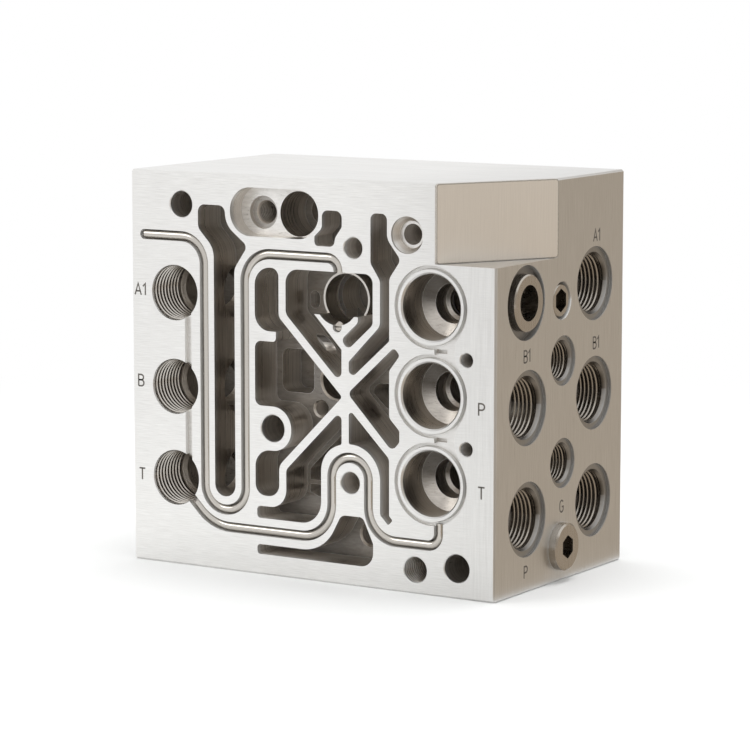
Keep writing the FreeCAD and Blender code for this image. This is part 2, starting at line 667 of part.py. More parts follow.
def base_outline():
    """Bottom pocket, arched under the lower tube."""
    return [
        (s.foot_left, s.base_pocket_top, 1.4),
        (s.base_bend_column, s.base_pocket_top, 16.0),
        (s.base_crown_left, s.base_crown_row, 3.2),
        (s.base_crown_right, s.base_crown_row, 2.5),
        (s.base_pocket_right, s.base_side_row, 2.5),
        (s.base_pocket_right, s.base_pocket_bottom, 5.5),
        (s.foot_left, s.base_pocket_bottom, 1.4),
    ]


def bean_outline():
    waist = (s.bean_top + s.bean_bottom) / 2
    return [
        (s.bean_left, s.bean_top, 2.5),
        (s.bean_right, s.bean_top, 2.8),
        (s.bean_right, waist + s.rib / 4, 1.8),
        (s.bean_foot_right + s.rib / 4, waist - s.rib, 2.4),
        (s.bean_foot_right, s.bean_bottom, 2.2),
        (s.bean_foot_left, s.bean_bottom, 1.6),
        (s.bean_foot_left, waist - s.rib, 1.0),
        (s.bean_left, waist, 3.0),
    ]


def obround(sketch, left, right, row, radius):
    """Slot outline with round ends."""
    near = radius * ROUND_SHARE
    rounded_lines(sketch, [
        (left - radius, row - radius, near), (right + radius, row - radius, near),
        (right + radius, row + radius, near), (left - radius, row + radius, near)])


def mill_pockets(body):
    pockets = [
        ("gallery", gallery_outline(), s.floor_depth), ("window", window_outline(), s.floor_depth),
        ("sleeve_bay", sleeve_outline(), s.floor_depth), ("arm", arm_outline(), s.floor_depth),
        ("kite", kite_outline(), s.kite_depth), ("leg", leg_outline(), s.floor_depth),
        ("foot", foot_outline(), s.floor_depth), ("base", base_outline(), s.floor_depth),
        ("bean", bean_outline(), s.bean_depth)]
    for name, corners, depth in pockets:
        sketch = front_sketch(body, f"{name}_outline")
        rounded_lines(sketch, corners)
        pocket(body, sketch, depth, name=f"{name}_pocket")


def mill_deep_levels(body):
    """Second levels in the pocket floors."""
    well = front_sketch(body, "well_outline", s.floor_depth)
    rounded_lines(well, [
        (s.well_left, s.well_bottom, s.well_corner), (s.well_right, s.well_bottom, s.well_corner),
        (s.well_right, s.well_top, s.well_corner), (s.well_left, s.well_top, s.well_corner)])
    pocket(body, well, s.deep_floor - s.floor_depth, name="well")
    left = s.window_right + s.rib + s.trench_ledge
    knee = s.star_row - (s.star_left - s.window_right) - s.rib * HALF_EIGHTH - s.rib / 2
    tip = s.spine_column - s.rib / 2 - s.trench_ledge
    upper = front_sketch(body, "trench_upper_outline", s.floor_depth)
    rounded_lines(upper, [
        (left, s.trench_bridge_top, 0.8), (s.trench_right, s.trench_bridge_top, 0.8),
        (s.trench_right, knee + s.rib * 3, 6.0), (tip, knee + (tip - left) - s.rib * 1.5, 0.8),
        (tip, knee + (tip - left), 0.6), (left, knee, 1.5)])
    pocket(body, upper, s.trench_depth - s.floor_depth, name="trench_upper")
    lower = front_sketch(body, "trench_lower_outline", s.floor_depth)
    rounded_lines(lower, [
        (left, s.trench_bridge_bottom, 0.8), (left, s.trench_bridge_bottom - s.rib, 0.8),
        (s.trench_right, s.foot_top, 0.8), (s.trench_right, s.trench_bridge_bottom, 0.8)])
    pocket(body, lower, s.trench_depth - s.floor_depth, name="trench_lower")
    kite = front_sketch(body, "kite_well_outline", s.kite_depth)
    rise = s.kite_well_top - s.kite_well_row
    rounded_lines(kite, [
        (s.kite_well_left, s.kite_well_row, 2.2), (s.kite_well_left + rise, s.kite_well_top, 2.2),
        (s.kite_well_right, s.kite_well_top, 2.2), (s.kite_well_right, s.kite_well_bottom, 2.2)])
    pocket(body, kite, s.drain_depth - s.kite_depth, name="kite_well")
    oval = front_sketch(body, "oval_outline", s.floor_depth)
    half, tall = s.oval_width / 2, s.oval_height / 2
    rounded_lines(oval, [
        (s.oval_column - half, s.oval_row - tall, half * ROUND_SHARE),
        (s.oval_column + half, s.oval_row - tall, half * ROUND_SHARE),
        (s.oval_column + half, s.oval_row + tall, half * ROUND_SHARE),
        (s.oval_column - half, s.oval_row + tall, half * ROUND_SHARE)])
    pocket(body, oval, s.drain_depth - s.floor_depth, name="oval_drain")
    slot = front_sketch(body, "sleeve_slot_outline", s.floor_depth)
    closed_lines(slot, [
        (s.sleeve_slot_left, s.sleeve_slot_bottom), (s.sleeve_slot_right, s.sleeve_slot_bottom),
        (s.sleeve_slot_right, s.sleeve_slot_top), (s.sleeve_slot_left, s.sleeve_slot_top)])
    pocket(body, slot, s.sleeve_slot_depth - s.floor_depth, name="sleeve_slot")


def mill_shallow_cuts(body):
    """Obround recess, relief between the ports, and the joints between spotfaces."""
    recess = front_sketch(body, "recess_outline")
    obround(recess, s.recess_left, s.recess_right, s.recess_row, s.recess_radius)
    pocket(body, recess, s.recess_depth, name="recess")
    relief = front_sketch(body, "relief_outline")
    right = s.relief_left + s.relief_width
    closed_lines(relief, [
        (s.relief_left, s.port_row_three), (right, s.port_row_three),
        (right, s.port_row_one), (s.relief_left, s.port_row_one)])
    pocket(body, relief, s.relief_depth, name="relief")
    for number in (1, 2):
        middle = s.joint_row - s.cavity_pitch * (number - 1)
        joint = front_sketch(body, f"joint_{number}_outline")
        neck, height = s.joint_neck / 2, s.joint_height / 2
        rounded_lines(joint, [
            (s.joint_left, middle - neck, 0), (s.joint_right, middle - height, 0),
            (s.joint_tip, middle, s.joint_round), (s.joint_right, middle + height, 0),
            (s.joint_left, middle + neck, 0)])
        pocket(body, joint, s.cavity_face_depth, name=f"joint_{number}")
        link = front_sketch(body, f"link_{number}_outline")
        half, tall = s.link_width / 2, s.link_height / 2
        closed_lines(link, [
            (s.link_column - half, middle - tall), (s.link_column + half, middle - tall),
            (s.link_column + half, middle + tall), (s.link_column - half, middle + tall)])
        pocket(body, link, s.link_depth, name=f"link_{number}")


def drill_floors():
    floor_drain("main_drain", s.main_drain_column, s.main_drain_row, s.main_drain_radius)
    floor_drain("side_drain", s.side_drain_column, s.side_drain_row, s.side_drain_radius)
    floor_drain("base_drain", s.base_drain_column, s.base_drain_row, s.base_drain_radius)
    body = cutter("crossover")
    outline = side_sketch(body, "crossover_outline", s.block_width - s.crossover_start)
    circle(outline, s.crossover_depth, s.crossover_row, s.crossover_radius)
    pad(body, outline, s.crossover_end - s.crossover_start)


def drill_front_ports():
    """Three threaded ports on the left, each opened into the long gallery."""
    rows = (s.port_row_one, s.port_row_two, s.port_row_three)
    for number, row in enumerate(rows, start=1):
        bore(f"front_port_{number}", "front", s.port_column, row, [
            (s.port_mouth_radius, ZERO), (s.port_thread_radius, s.port_mouth_depth),
            (s.port_thread_radius, s.port_thread_depth),
            (s.port_drill_radius, s.port_thread_depth + s.rib / 2),
            (s.port_drill_radius, s.port_depth)])
        body = cutter(f"passage_{number}")
        outline = side_sketch(body, f"passage_{number}_outline", s.block_width - s.port_column)
        circle(outline, s.gallery_depth, row, s.gallery_radius)
        pad(body, outline, s.slot_right - s.port_column - s.rib / 8)


def bore_cavities():
    """Three cartridge cavities, each with a raised rim in its spotface."""
    lip = s.cavity_radius + s.cavity_rim_chamfer
    for number in range(3):
        row = s.cavity_row_one - s.cavity_pitch * number
        bore(f"cavity_{number + 1}", "front", s.cavity_column, row, [
            (lip, ZERO), (s.cavity_radius, s.cavity_rim_chamfer),
            (s.cavity_radius, s.cavity_step_depth), (s.cavity_inner_radius, s.cavity_cone_depth),
            (s.cavity_inner_radius, s.cavity_inner_depth),
            (s.cavity_pilot_radius, s.cavity_inner_depth + s.rib / 4),
            (s.cavity_pilot_radius, s.cavity_depth)])
        turned_solid(cutter(f"cavity_face_{number + 1}"), f"cavity_face_{number + 1}_turned",
                     "front", s.cavity_column, row, [
            (s.cavity_rim_radius, -s.overrun), (s.cavity_face_radius, -s.overrun),
            (s.cavity_face_radius, s.cavity_face_depth),
            (s.cavity_rim_radius + s.rib / 8, s.cavity_face_depth), (s.cavity_rim_radius, ZERO)])


def cut_seats_in_recess():
    """Threaded seat and blind bore in the floor of the obround recess."""
    floor = s.recess_depth
    turned_solid(cutter("threaded_seat"), "threaded_seat_turned", "front", s.seat_column,
                 s.seat_row, [
        (0, floor), (s.seat_radius, floor), (s.seat_radius, floor + s.seat_depth),
        (s.seat_rim_radius, floor + s.seat_depth),
        (s.seat_thread_radius, floor + s.seat_depth + s.hole_break * 2),
        (s.seat_thread_radius, s.seat_hole_depth), (0, s.seat_hole_depth)])
    turned_solid(cutter("blind_bore"), "blind_bore_turned", "front", s.blind_column,
                 s.blind_row, [
        (0, floor), (s.blind_radius, floor), (s.blind_radius, s.blind_depth),
        (s.blind_inner_radius, s.blind_depth), (s.blind_inner_radius, s.blind_inner_depth),
        (0, s.blind_inner_depth)])


def drill_front_holes():
    plain_hole("dowel_hole", s.dowel_column, s.dowel_row, s.dowel_radius, s.hole_depth)
    plain_hole("cross_hole", s.cross_column, s.cross_row, s.cross_radius, s.hole_depth)
    plain_hole("boss_hole", s.boss_column, s.boss_row, s.boss_hole_radius, s.hole_depth)
    arch_column = (s.arch_left + s.arch_right) / 2
    plain_hole("arch_hole", arch_column, s.arch_hole_row, s.arch_hole_radius, s.hole_depth)
    plain_hole("base_hole", s.base_hole_column, s.base_hole_row, s.base_hole_radius,
               s.hole_depth)
    plain_hole("base_tap", s.base_tap_column, s.base_tap_row, s.base_tap_radius, s.hole_depth)
    plain_hole("screw_hole_1", s.screw_column, s.screw_upper_row, s.screw_radius, s.screw_depth)
    plain_hole("screw_hole_2", s.screw_column, s.screw_lower_row, s.screw_radius, s.screw_depth)
    bore("countersunk_hole", "front", s.sink_column, s.sink_row, [
        (s.sink_radius, ZERO), (s.sink_radius, s.sink_lip),
        (s.sink_throat_radius, s.sink_cone_depth), (s.sink_throat_radius, s.sink_step_depth),
        (s.sink_hole_radius, s.sink_step_depth), (s.sink_hole_radius, s.hole_depth)])


def drill_side_ports():
    """Large and small threaded ports of the right-hand face."""
    large = [
        ("side_port_1", s.side_column, s.side_port_row_one, s.side_drill_depth),
        ("side_port_2", s.side_column, s.side_port_row_two, s.low_drill_depth),
        ("rear_port_1", s.rear_column, s.rear_port_row_one, s.rear_drill_depth),
        ("rear_port_2", s.rear_column, s.rear_port_row_two, s.rear_drill_depth),
        ("rear_port_3", s.rear_column, s.rear_port_row_three, s.rear_drill_depth)]
    for name, column, row, depth in large:
        bore(name, "side", column, row, [
            (s.side_face_radius, ZERO), (s.side_face_radius, s.side_face_depth),
            (s.side_mouth_radius, s.side_face_depth), (s.side_thread_radius, s.side_mouth_depth),
            (s.side_thread_radius, s.side_thread_depth),
            (s.side_drill_radius, s.side_thread_depth + s.rib / 2),
            (s.side_drill_radius, depth)])
    for number, row in enumerate((s.small_row_one, s.small_row_two), start=1):
        bore(f"small_port_{number}", "side", s.middle_column, row, [
            (s.small_face_radius, ZERO), (s.small_face_radius, s.small_face_depth),
            (s.small_mouth_radius, s.small_face_depth),
            (s.small_thread_radius, s.small_mouth_depth),
            (s.small_thread_radius, s.small_thread_depth),
            (s.small_drill_radius, s.small_thread_depth + s.rib / 2),
            (s.small_drill_radius, s.small_depth)])


def cut_fitting_seats():
    """Seats of the sleeve, the orifice screw, the collar and the plugs."""
    inner = s.sleeve_radius - s.sleeve_wall
    outer = s.sleeve_radius + s.sleeve_clearance
    bore("sleeve_seat", "front", s.sleeve_column, s.sleeve_row, [
        (inner, ZERO), (inner, s.sleeve_rim_depth), (outer, s.sleeve_rim_depth),
        (outer, s.sleeve_seat_depth), (s.sleeve_bore_radius, s.sleeve_seat_depth),
        (s.sleeve_bore_radius, s.sleeve_bore_depth)])
    hole = s.lock_radius + s.lock_clearance
    bore("lock_hole", "front", s.lock_column, s.lock_row, [
        (hole, ZERO), (hole, s.lock_seat)])
    spigot = s.collar_spigot_radius + s.collar_clearance
    bore("collar_seat", "side", s.collar_column, s.collar_row, [
        (s.collar_face_radius, ZERO), (s.collar_face_radius, s.collar_face_depth),
        (spigot, s.collar_face_depth), (spigot, s.collar_spigot_depth + s.collar_clearance),
        (s.collar_bore_radius, s.collar_spigot_depth + s.collar_clearance),
        (s.collar_bore_radius, s.collar_drill_depth)])
    stem = s.plug_radius + s.plug_clearance
    bore("plug_seat", "side", s.plug_column, s.plug_row, [
        (s.plug_sink_radius, ZERO), (stem, s.plug_sink_depth), (stem, s.plug_seat_depth)])
    gauge = s.gauge_stem_radius + s.gauge_clearance
    bore("gauge_seat", "side", s.gauge_column, s.gauge_row, [
        (gauge, ZERO), (gauge, s.gauge_stem_length + s.gauge_clearance)])


def mill_block():
    """The billet with its chamfers, its cut corner and every milled pocket."""
    body = new_body("milled_block")
    base = body.newObject("Sketcher::SketchObject", "base_rectangle")
    attach(base, body, "XY_Plane", (-s.block_width / 2, -s.block_depth / 2, ZERO))
    closed_lines(base, [
        (0, 0), (s.block_width, 0), (s.block_width, s.block_depth), (0, s.block_depth)])
    billet = pad(body, base, s.block_height)
    doc.recompute()
    edges = [f"Edge{i + 1}" for i in range(len(billet.Shape.Edges))]
    chamfer = body.newObject("PartDesign::Chamfer", "outer_edges")
    chamfer.Base = (billet, edges)
    chamfer.Size = s.edge_chamfer.number
    chamfer.setExpression("Size", s.edge_chamfer.formula)
    corner = top_sketch(body, "corner_outline")
    reach = s.corner_reach / (s.block_width - s.corner_column) * s.overrun
    right = s.block_width + s.overrun
    closed_lines(corner, [
        (s.corner_column, 0), (s.corner_column, -s.overrun), (right, -s.overrun),
        (right, s.corner_reach + reach)])
    pocket(body, corner, s.block_height - s.corner_row, name="corner_cut")
    doc.recompute()
    mill_pockets(body)
    mill_deep_levels(body)
    mill_shallow_cuts(body)
    return body


def build_block():
    """The milled block with every bore, port, seat and tube groove cut out of it."""
    milled = mill_block()
    drill_floors()
    drill_front_ports()
    bore_cavities()
    cut_seats_in_recess()
    drill_front_holes()
    drill_side_ports()
    cut_fitting_seats()
    tube_groove("upper_groove", upper_route())
    tube_groove("lower_groove", lower_route(s.lower_groove_reach))
    radius = s.tube_diameter / 2 + s.groove_clearance
    bore("groove_end", "front", s.upper_groove_end + radius, s.upper_row, [
        (radius, ZERO), (radius, s.tube_depth + radius)])
    doc.recompute()
    tools = doc.addObject("Part::MultiFuse", "cutters")
    tools.Shapes = cutters
    tools.Refine = False
    block = doc.addObject("Part::Cut", "manifold_block")
    block.Label = "manifold_block"
    block.Base = milled
    block.Tool = tools
    doc.recompute()
    return block


def hexagon(sketch, column, row, flats):
    """Hexagon with two corners on the vertical line."""
    half = flats / 2
    reach = flats / math.sqrt(3)
    closed_lines(sketch, [
        (column, row + reach), (column - half, row + reach / 2), (column - half, row - reach / 2),
        (column, row - reach), (column + half, row - reach / 2), (column + half, row + reach / 2)])


def build_sleeve():
    """Thin sleeve that stands on the step of its bore, with a small window in its crown."""
    body = new_body("valve_sleeve")
    inner = s.sleeve_radius - s.sleeve_wall
    turned_solid(body, "sleeve_tube", "front", s.sleeve_column, s.sleeve_row, [
        (inner, s.sleeve_rim_depth), (s.sleeve_radius, s.sleeve_rim_depth),
        (s.sleeve_radius, s.sleeve_foot_depth), (inner, s.sleeve_foot_depth)])
    doc.recompute()
    notch = front_sketch(body, "notch_outline", s.sleeve_rim_depth + s.sleeve_wall)
    half = s.sleeve_notch_width / 2
    top = s.sleeve_row + s.sleeve_radius + s.sleeve_wall
    closed_lines(notch, [
        (s.sleeve_column - half, s.sleeve_row), (s.sleeve_column + half, s.sleeve_row),
        (s.sleeve_column + half, top), (s.sleeve_column - half, top)])
    pocket(body, notch, s.sleeve_notch_depth)
    return body


def build_lock_screw():
    """Slotted orifice screw in the web beside the sleeve."""
    body = new_body("orifice_screw")
    turned_solid(body, "screw_shank", "front", s.lock_column, s.lock_row, [
        (0, s.lock_top), (s.lock_radius - s.lock_dome, s.lock_top),
        (s.lock_radius, s.lock_top + s.lock_dome), (s.lock_radius, s.lock_seat),
        (0, s.lock_seat)])
    doc.recompute()
    slot = front_sketch(body, "slot_outline", s.lock_top)
    half = s.lock_slot_width / 2
    reach = s.lock_radius * 1.2
    closed_lines(slot, [
        (s.lock_column - reach, s.lock_row - half), (s.lock_column + reach, s.lock_row - half),
        (s.lock_column + reach, s.lock_row + half), (s.lock_column - reach, s.lock_row + half)])
    pocket(body, slot, s.lock_slot_depth)
    return body


def build_collar():
    """Turned collar that stands in its spotface, with a spigot in the bore."""
    body = new_body("seat_collar")
    lip = s.collar_chamfer
    turned_solid(body, "collar_ring", "side", s.collar_column, s.collar_row, [
        (s.collar_bore_radius, -s.collar_stand), (s.collar_radius - lip, -s.collar_stand),
        (s.collar_radius, lip - s.collar_stand), (s.collar_radius, s.collar_face_depth),
        (s.collar_spigot_radius, s.collar_face_depth),
        (s.collar_spigot_radius, s.collar_spigot_depth),
        (s.collar_bore_radius, s.collar_spigot_depth)])
    return body


def build_socket_plug():
    body = new_body("socket_plug")
    lip = s.plug_chamfer
    turned_solid(body, "plug_shank", "side", s.plug_column, s.plug_row, [
        (0, s.plug_face_depth), (s.plug_radius - lip, s.plug_face_depth),
        (s.plug_radius, s.plug_face_depth + lip), (s.plug_radius, s.plug_seat_depth),
        (0, s.plug_seat_depth)])
    doc.recompute()
    socket = side_sketch(body, "plug_socket_outline", s.plug_face_depth)
    hexagon(socket, s.plug_column, s.plug_row, s.plug_hex)
    pocket(body, socket, s.plug_hex_depth)
    return body


def build_gauge_plug():
    """Headed plug in the gauge port, its head flat on the face."""
    body = new_body("gauge_port_plug")
    lip = s.gauge_head_chamfer
    head = s.gauge_head_height
    turned_solid(body, "gauge_body", "side", s.gauge_column, s.gauge_row, [
        (0, -head), (s.gauge_head_radius - lip, -head), (s.gauge_head_radius, lip - head),
        (s.gauge_head_radius, ZERO), (s.gauge_stem_radius, ZERO),
        (s.gauge_stem_radius, s.gauge_stem_length), (0, s.gauge_stem_length)])
    doc.recompute()
    socket = side_sketch(body, "gauge_socket_outline", -head)
    hexagon(socket, s.gauge_column, s.gauge_row, s.gauge_hex)
    pocket(body, socket, s.gauge_hex_depth)
    return body


def build_plate():
    """Thin plate bedded on the chamfered upper corner."""
    body = new_body("corner_plate")
    run = s.block_width - s.corner_column
    width = math.hypot(run.number, s.corner_reach.number)
    span = Dim(width, f"sqrt({run.formula} ^ 2 + sizes.corner_reach ^ 2)")
    lean = Dim(math.degrees(math.atan2(s.corner_reach.number, run.number)),
               f"atan(sizes.corner_reach / {run.formula})")
    sketch = body.newObject("Sketcher::SketchObject", "plate_outline")
    attach(sketch, body, "XZ_Plane", (
        s.corner_column - s.block_width / 2, s.corner_row, s.block_depth / 2))
    turn = FreeCAD.Rotation(FreeCAD.Vector(0, 1, 0), lean.number)
    sketch.AttachmentOffset = FreeCAD.Placement(sketch.AttachmentOffset.Base, turn)
    sketch.setExpression(".AttachmentOffset.Rotation.Axis.y", "1")
    sketch.setExpression(".AttachmentOffset.Rotation.Angle", lean.formula)
    low, high = s.plate_margin, s.block_height - s.corner_row - s.plate_margin
    right = span - s.plate_margin
    rounded_lines(sketch, [
        (s.plate_margin, low, s.plate_corner), (right, low, s.plate_corner),
        (right, high, s.plate_corner), (s.plate_margin, high, s.plate_corner)])
    pad(body, sketch, s.plate_thickness)
    return body


def check(doc):
    """Stop where an object failed or a piece has no sound shape."""
    for item in doc.Objects:
        if {"Invalid", "Error"} & set(item.State):
            raise RuntimeError(f"{item.Name} failed: {item.State}")


def check_volume(body, least):
    volume = body.Shape.Volume
    if volume < least:
        raise RuntimeError(f"{body.Name} has volume {volume:.0f}, less than {least:.0f}")
    print(f"{body.Name}: {len(body.Shape.Solids)} solid, volume {volume:.1f}")


bodies = [
    build_block(), tube_solid("upper_pilot_tube", upper_route()),
    tube_solid("lower_pilot_tube", lower_route(s.lower_start_reach)), build_sleeve(), build_lock_screw(),
    build_collar(), build_socket_plug(), build_gauge_plug(), build_plate()]
doc.recompute()
check(doc)
os.makedirs("parts", exist_ok=True)
for body in bodies:
    shape = body.Shape
    if shape.isNull() or not shape.isValid():
        raise RuntimeError(f"{body.Name} has no sound shape")
    check_volume(body, 1.0)
    shape.exportStep(f"parts/{body.Label}.step")
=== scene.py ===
"""Looks for the machined manifold block: finishes, threads, port letters and studio."""

import json
import logging
import math
from dataclasses import dataclass
from enum import Enum
from typing import Any, Iterable, Optional

import bpy
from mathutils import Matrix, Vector

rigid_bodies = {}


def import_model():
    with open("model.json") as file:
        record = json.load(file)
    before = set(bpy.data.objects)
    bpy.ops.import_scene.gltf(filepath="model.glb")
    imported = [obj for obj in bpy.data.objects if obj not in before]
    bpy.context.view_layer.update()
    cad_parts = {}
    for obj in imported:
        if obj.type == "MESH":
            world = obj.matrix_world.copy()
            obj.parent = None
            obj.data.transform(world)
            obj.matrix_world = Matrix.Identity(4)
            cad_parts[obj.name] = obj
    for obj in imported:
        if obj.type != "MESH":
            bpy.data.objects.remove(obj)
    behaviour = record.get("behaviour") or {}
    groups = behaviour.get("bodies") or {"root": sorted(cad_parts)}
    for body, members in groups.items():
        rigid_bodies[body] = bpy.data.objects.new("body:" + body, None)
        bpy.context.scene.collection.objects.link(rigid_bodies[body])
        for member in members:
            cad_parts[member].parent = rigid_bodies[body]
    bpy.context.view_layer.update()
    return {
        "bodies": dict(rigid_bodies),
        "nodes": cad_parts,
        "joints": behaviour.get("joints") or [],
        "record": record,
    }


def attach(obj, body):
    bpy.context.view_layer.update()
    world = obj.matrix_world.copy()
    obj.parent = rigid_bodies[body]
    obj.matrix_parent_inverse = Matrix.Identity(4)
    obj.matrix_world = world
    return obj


LOG = logging.getLogger("manifold")
MM = 0.001
SHARP_ANGLE = math.radians(25)
WHITE = (1.0, 1.0, 1.0, 1.0)
Pair = tuple[float, float]
Colour = tuple[float, float, float]
Place = tuple[float, float, float]
Socket = bpy.types.NodeSocket


class Face(Enum):
    """The two machined faces that carry ports."""

    FRONT = "front"
    RIGHT = "right"


@dataclass(frozen=True)
class BlockFrame:
    """Outer sizes of the block, in millimetres, and the way its faces are measured.

    Front features are counted from the left edge and the base, right-hand features
    from the front face and the base, and depths go into the block. The corner fields
    say where the upper right corner is cut off.
    """

    width: float = 165.0
    depth: float = 100.0
    height: float = 155.0
    corner_column: float = 138.7
    corner_reach: float = 46.1
    corner_row: float = 125.0

    def point(self, face: Face, column: float, row: float, depth: float) -> Vector:
        """Turn a place on a face into a point of the row frame.

        Args:
            face: The face that the place is on.
            column: Distance across the face, in millimetres.
            row: Height above the base, in millimetres.
            depth: Distance into the block, in millimetres.

        Returns:
            The point in metres.
        """
        if face is Face.FRONT:
            spot = (column - self.width / 2, depth - self.depth / 2, row)
        else:
            spot = (self.width / 2 - depth, column - self.depth / 2, row)
        return Vector(spot) * MM


FRAME = BlockFrame()


@dataclass(frozen=True)
class CutPattern:
    """One cutter's marks: noise that is stretched along the way the cutter went."""

    stretch: tuple[float, float, float]
    detail: float = 4.0
    roughness: float = 0.7


ACROSS_FRONT = CutPattern((110, 60, 4600))
DOWN_FRONT = CutPattern((1100, 60, 45))
ALONG_SIDE = CutPattern((60, 3600, 60))
POCKET_FLOOR = CutPattern((240, 60, 900), roughness=0.6)
FRONT_RINGS = CutPattern((30, 1900, 30), 3.0, 0.6)
RIGHT_RINGS = CutPattern((1900, 30, 30), 3.0, 0.6)


class Wiring:
    """Adds nodes to one tree and joins them, so that a finish reads as a few lines.

    The Mix node's sockets share their names, so they are picked here by number.
    """

    MIX_FACTOR = 0
    MIX_NUMBERS = (2, 3)
    MIXED_NUMBER = 0
    MIX_COLOURS = (6, 7)
    MIXED_COLOUR = 2

    def __init__(self, tree: bpy.types.NodeTree) -> None:
        """Keep the tree that the nodes go into."""
        self.tree = tree

    def node(self, kind: str, **settings: Any) -> bpy.types.Node:
        """Add a node.

        Args:
            kind: The node's type name.
            settings: Properties to set on it.

        Returns:
            The new node.
        """
        made = self.tree.nodes.new(kind)
        for name, value in settings.items():
            setattr(made, name, value)
        return made

    def feed(self, target: Socket, source: Any) -> None:
        """Link a socket to the target, or write a plain value on it.

        Args:
            target: The input.
            source: A socket or a plain value.
        """
        if isinstance(source, bpy.types.NodeSocket):
            self.tree.links.new(source, target)
        else:
            target.default_value = source

    def group(self, tree: bpy.types.NodeTree, **values: Any) -> Any:
        """Place a shared effect with its own values.

        Args:
            tree: The effect's node group.
            values: Its inputs by name, as sockets or numbers.

        Returns:
            Its outputs.
        """
        made = self.node("ShaderNodeGroup", node_tree=tree)
        for name, value in values.items():
            self.feed(made.inputs[name], value)
        return made.outputs

    def math(self, operation: str, *values: Any, clamp: bool = False) -> Socket:
        """Work out a number.

        Args:
            operation: The Math node's operation.
            values: Its inputs, as sockets or numbers.
            clamp: Whether the result is kept between 0 and 1.

        Returns:
            The result's socket.
        """
        made = self.node("ShaderNodeMath", operation=operation, use_clamp=clamp)
        for slot, value in zip(made.inputs, values):
            self.feed(slot, value)
        return made.outputs["Value"]

    def least(self, values: Iterable[Socket]) -> Socket:
        """Find the smallest of several values.

        Args:
            values: Their sockets.

        Returns:
            The smallest value's socket.
        """
        smallest, *others = values
        for other in others:
            smallest = self.math("MINIMUM", smallest, other)
        return smallest

    def rest_of(self, value: Any) -> Socket:
        """Return the socket of 1 minus a value."""
        return self.math("SUBTRACT", 1.0, value)

    def ramp(self, value: Socket, span: tuple[Any, Any], start: float = 0.0,
             stop: float = 1.0) -> Socket:
        """Map a span of inputs smoothly onto start..stop.

        Args:
            value: The input.
            span: The inputs that give start and stop, as sockets or numbers.
            start: Output at the span's first input.
            stop: Output at its second.

        Returns:
            The mapped socket.
        """
        made = self.node("ShaderNodeMapRange", interpolation_type="SMOOTHSTEP")
        for slot, given in zip(made.inputs, (value, *span, start, stop)):
            self.feed(slot, given)
        return made.outputs["Result"]

    def mix_colour(self, factor: Any, first: Any, second: Any) -> Socket:
        """Blend two colours.

        Args:
            factor: Share of the second colour.
            first: A colour or socket.
            second: A colour or socket.

        Returns:
            The blended colour's socket.
        """
        made = self.node("ShaderNodeMix", data_type="RGBA")
        self.feed(made.inputs[self.MIX_FACTOR], factor)
        for slot, given in zip(self.MIX_COLOURS, (first, second)):
            if isinstance(given, tuple):
                given = (*given, 1.0)
            self.feed(made.inputs[slot], given)
        return made.outputs[self.MIXED_COLOUR]

    def mix_number(self, factor: Any, first: Any, second: Any) -> Socket:
        """Blend two numbers.

        Args:
            factor: Share of the second number.
            first: A number or socket.
            second: A number or socket.

        Returns:
            The blended number's socket.
        """
        made = self.node("ShaderNodeMix", data_type="FLOAT")
        self.feed(made.inputs[self.MIX_FACTOR], factor)
        for slot, given in zip(self.MIX_NUMBERS, (first, second)):
            self.feed(made.inputs[slot], given)
        return made.outputs[self.MIXED_NUMBER]

    def noise(self, vector: Socket, scale: Any, detail: float,
              roughness: float = 0.5) -> Socket:
        """Add a noise texture.

        Args:
            vector: Where it is read.
            scale: Its scale, as a number or a socket.
            detail: Its octaves.
            roughness: How strong the fine octaves are.

        Returns:
            The noise value's socket.
        """
        made = self.node("ShaderNodeTexNoise")
        for name, value in (("Vector", vector), ("Scale", scale), ("Detail", detail),
                            ("Roughness", roughness)):
            self.feed(made.inputs[name], value)
        return made.outputs["Fac"]

    def cut(self, place: Socket, pattern: CutPattern) -> Socket:
        """Read one cutter's marks.

        Args:
            place: Where they are read.
            pattern: The marks.

        Returns:
            The marks' socket, as a value from 0 to 1.
        """
        stretched = self.node("ShaderNodeVectorMath", operation="MULTIPLY")
        for slot, given in zip(stretched.inputs, (place, pattern.stretch)):
            self.feed(slot, given)
        return self.noise(stretched.outputs["Vector"], 1.0, pattern.detail,
                          pattern.roughness)

    def place(self) -> Socket:
        """Return the socket of the point's place in the row frame, in metres."""
        return self.node("ShaderNodeTexCoord").outputs["Object"]

    def split(self, vector: Socket) -> Any:
        """Part a vector.

        Args:
            vector: Its socket.

        Returns:
            Its three numbers' sockets.
        """
        parted = self.node("ShaderNodeSeparateXYZ")
        self.feed(parted.inputs["Vector"], vector)
        return parted.outputs


def new_group(name: str, inputs: Iterable[tuple[str, float]],
              outputs: Iterable[str]) -> tuple[bpy.types.NodeTree, Wiring, Any, Any]:
    """Start a shader node group with number sockets.

    Args:
        name: The group's name.
        inputs: Name and default of each input.
        outputs: Name of each output.

    Returns:
        The group, its wiring, the sockets that its inputs give and those that its
        results go to.
    """
    group = bpy.data.node_groups.new(name, "ShaderNodeTree")
    for label, default in inputs:
        socket = group.interface.new_socket(
            name=label, in_out="INPUT", socket_type="NodeSocketFloat")
        socket.default_value = default
    for label in outputs:
        group.interface.new_socket(
            name=label, in_out="OUTPUT", socket_type="NodeSocketFloat")
    wiring = Wiring(group)
    given, result = wiring.node("NodeGroupInput"), wiring.node("NodeGroupOutput")
    return group, wiring, given.outputs, result.inputs


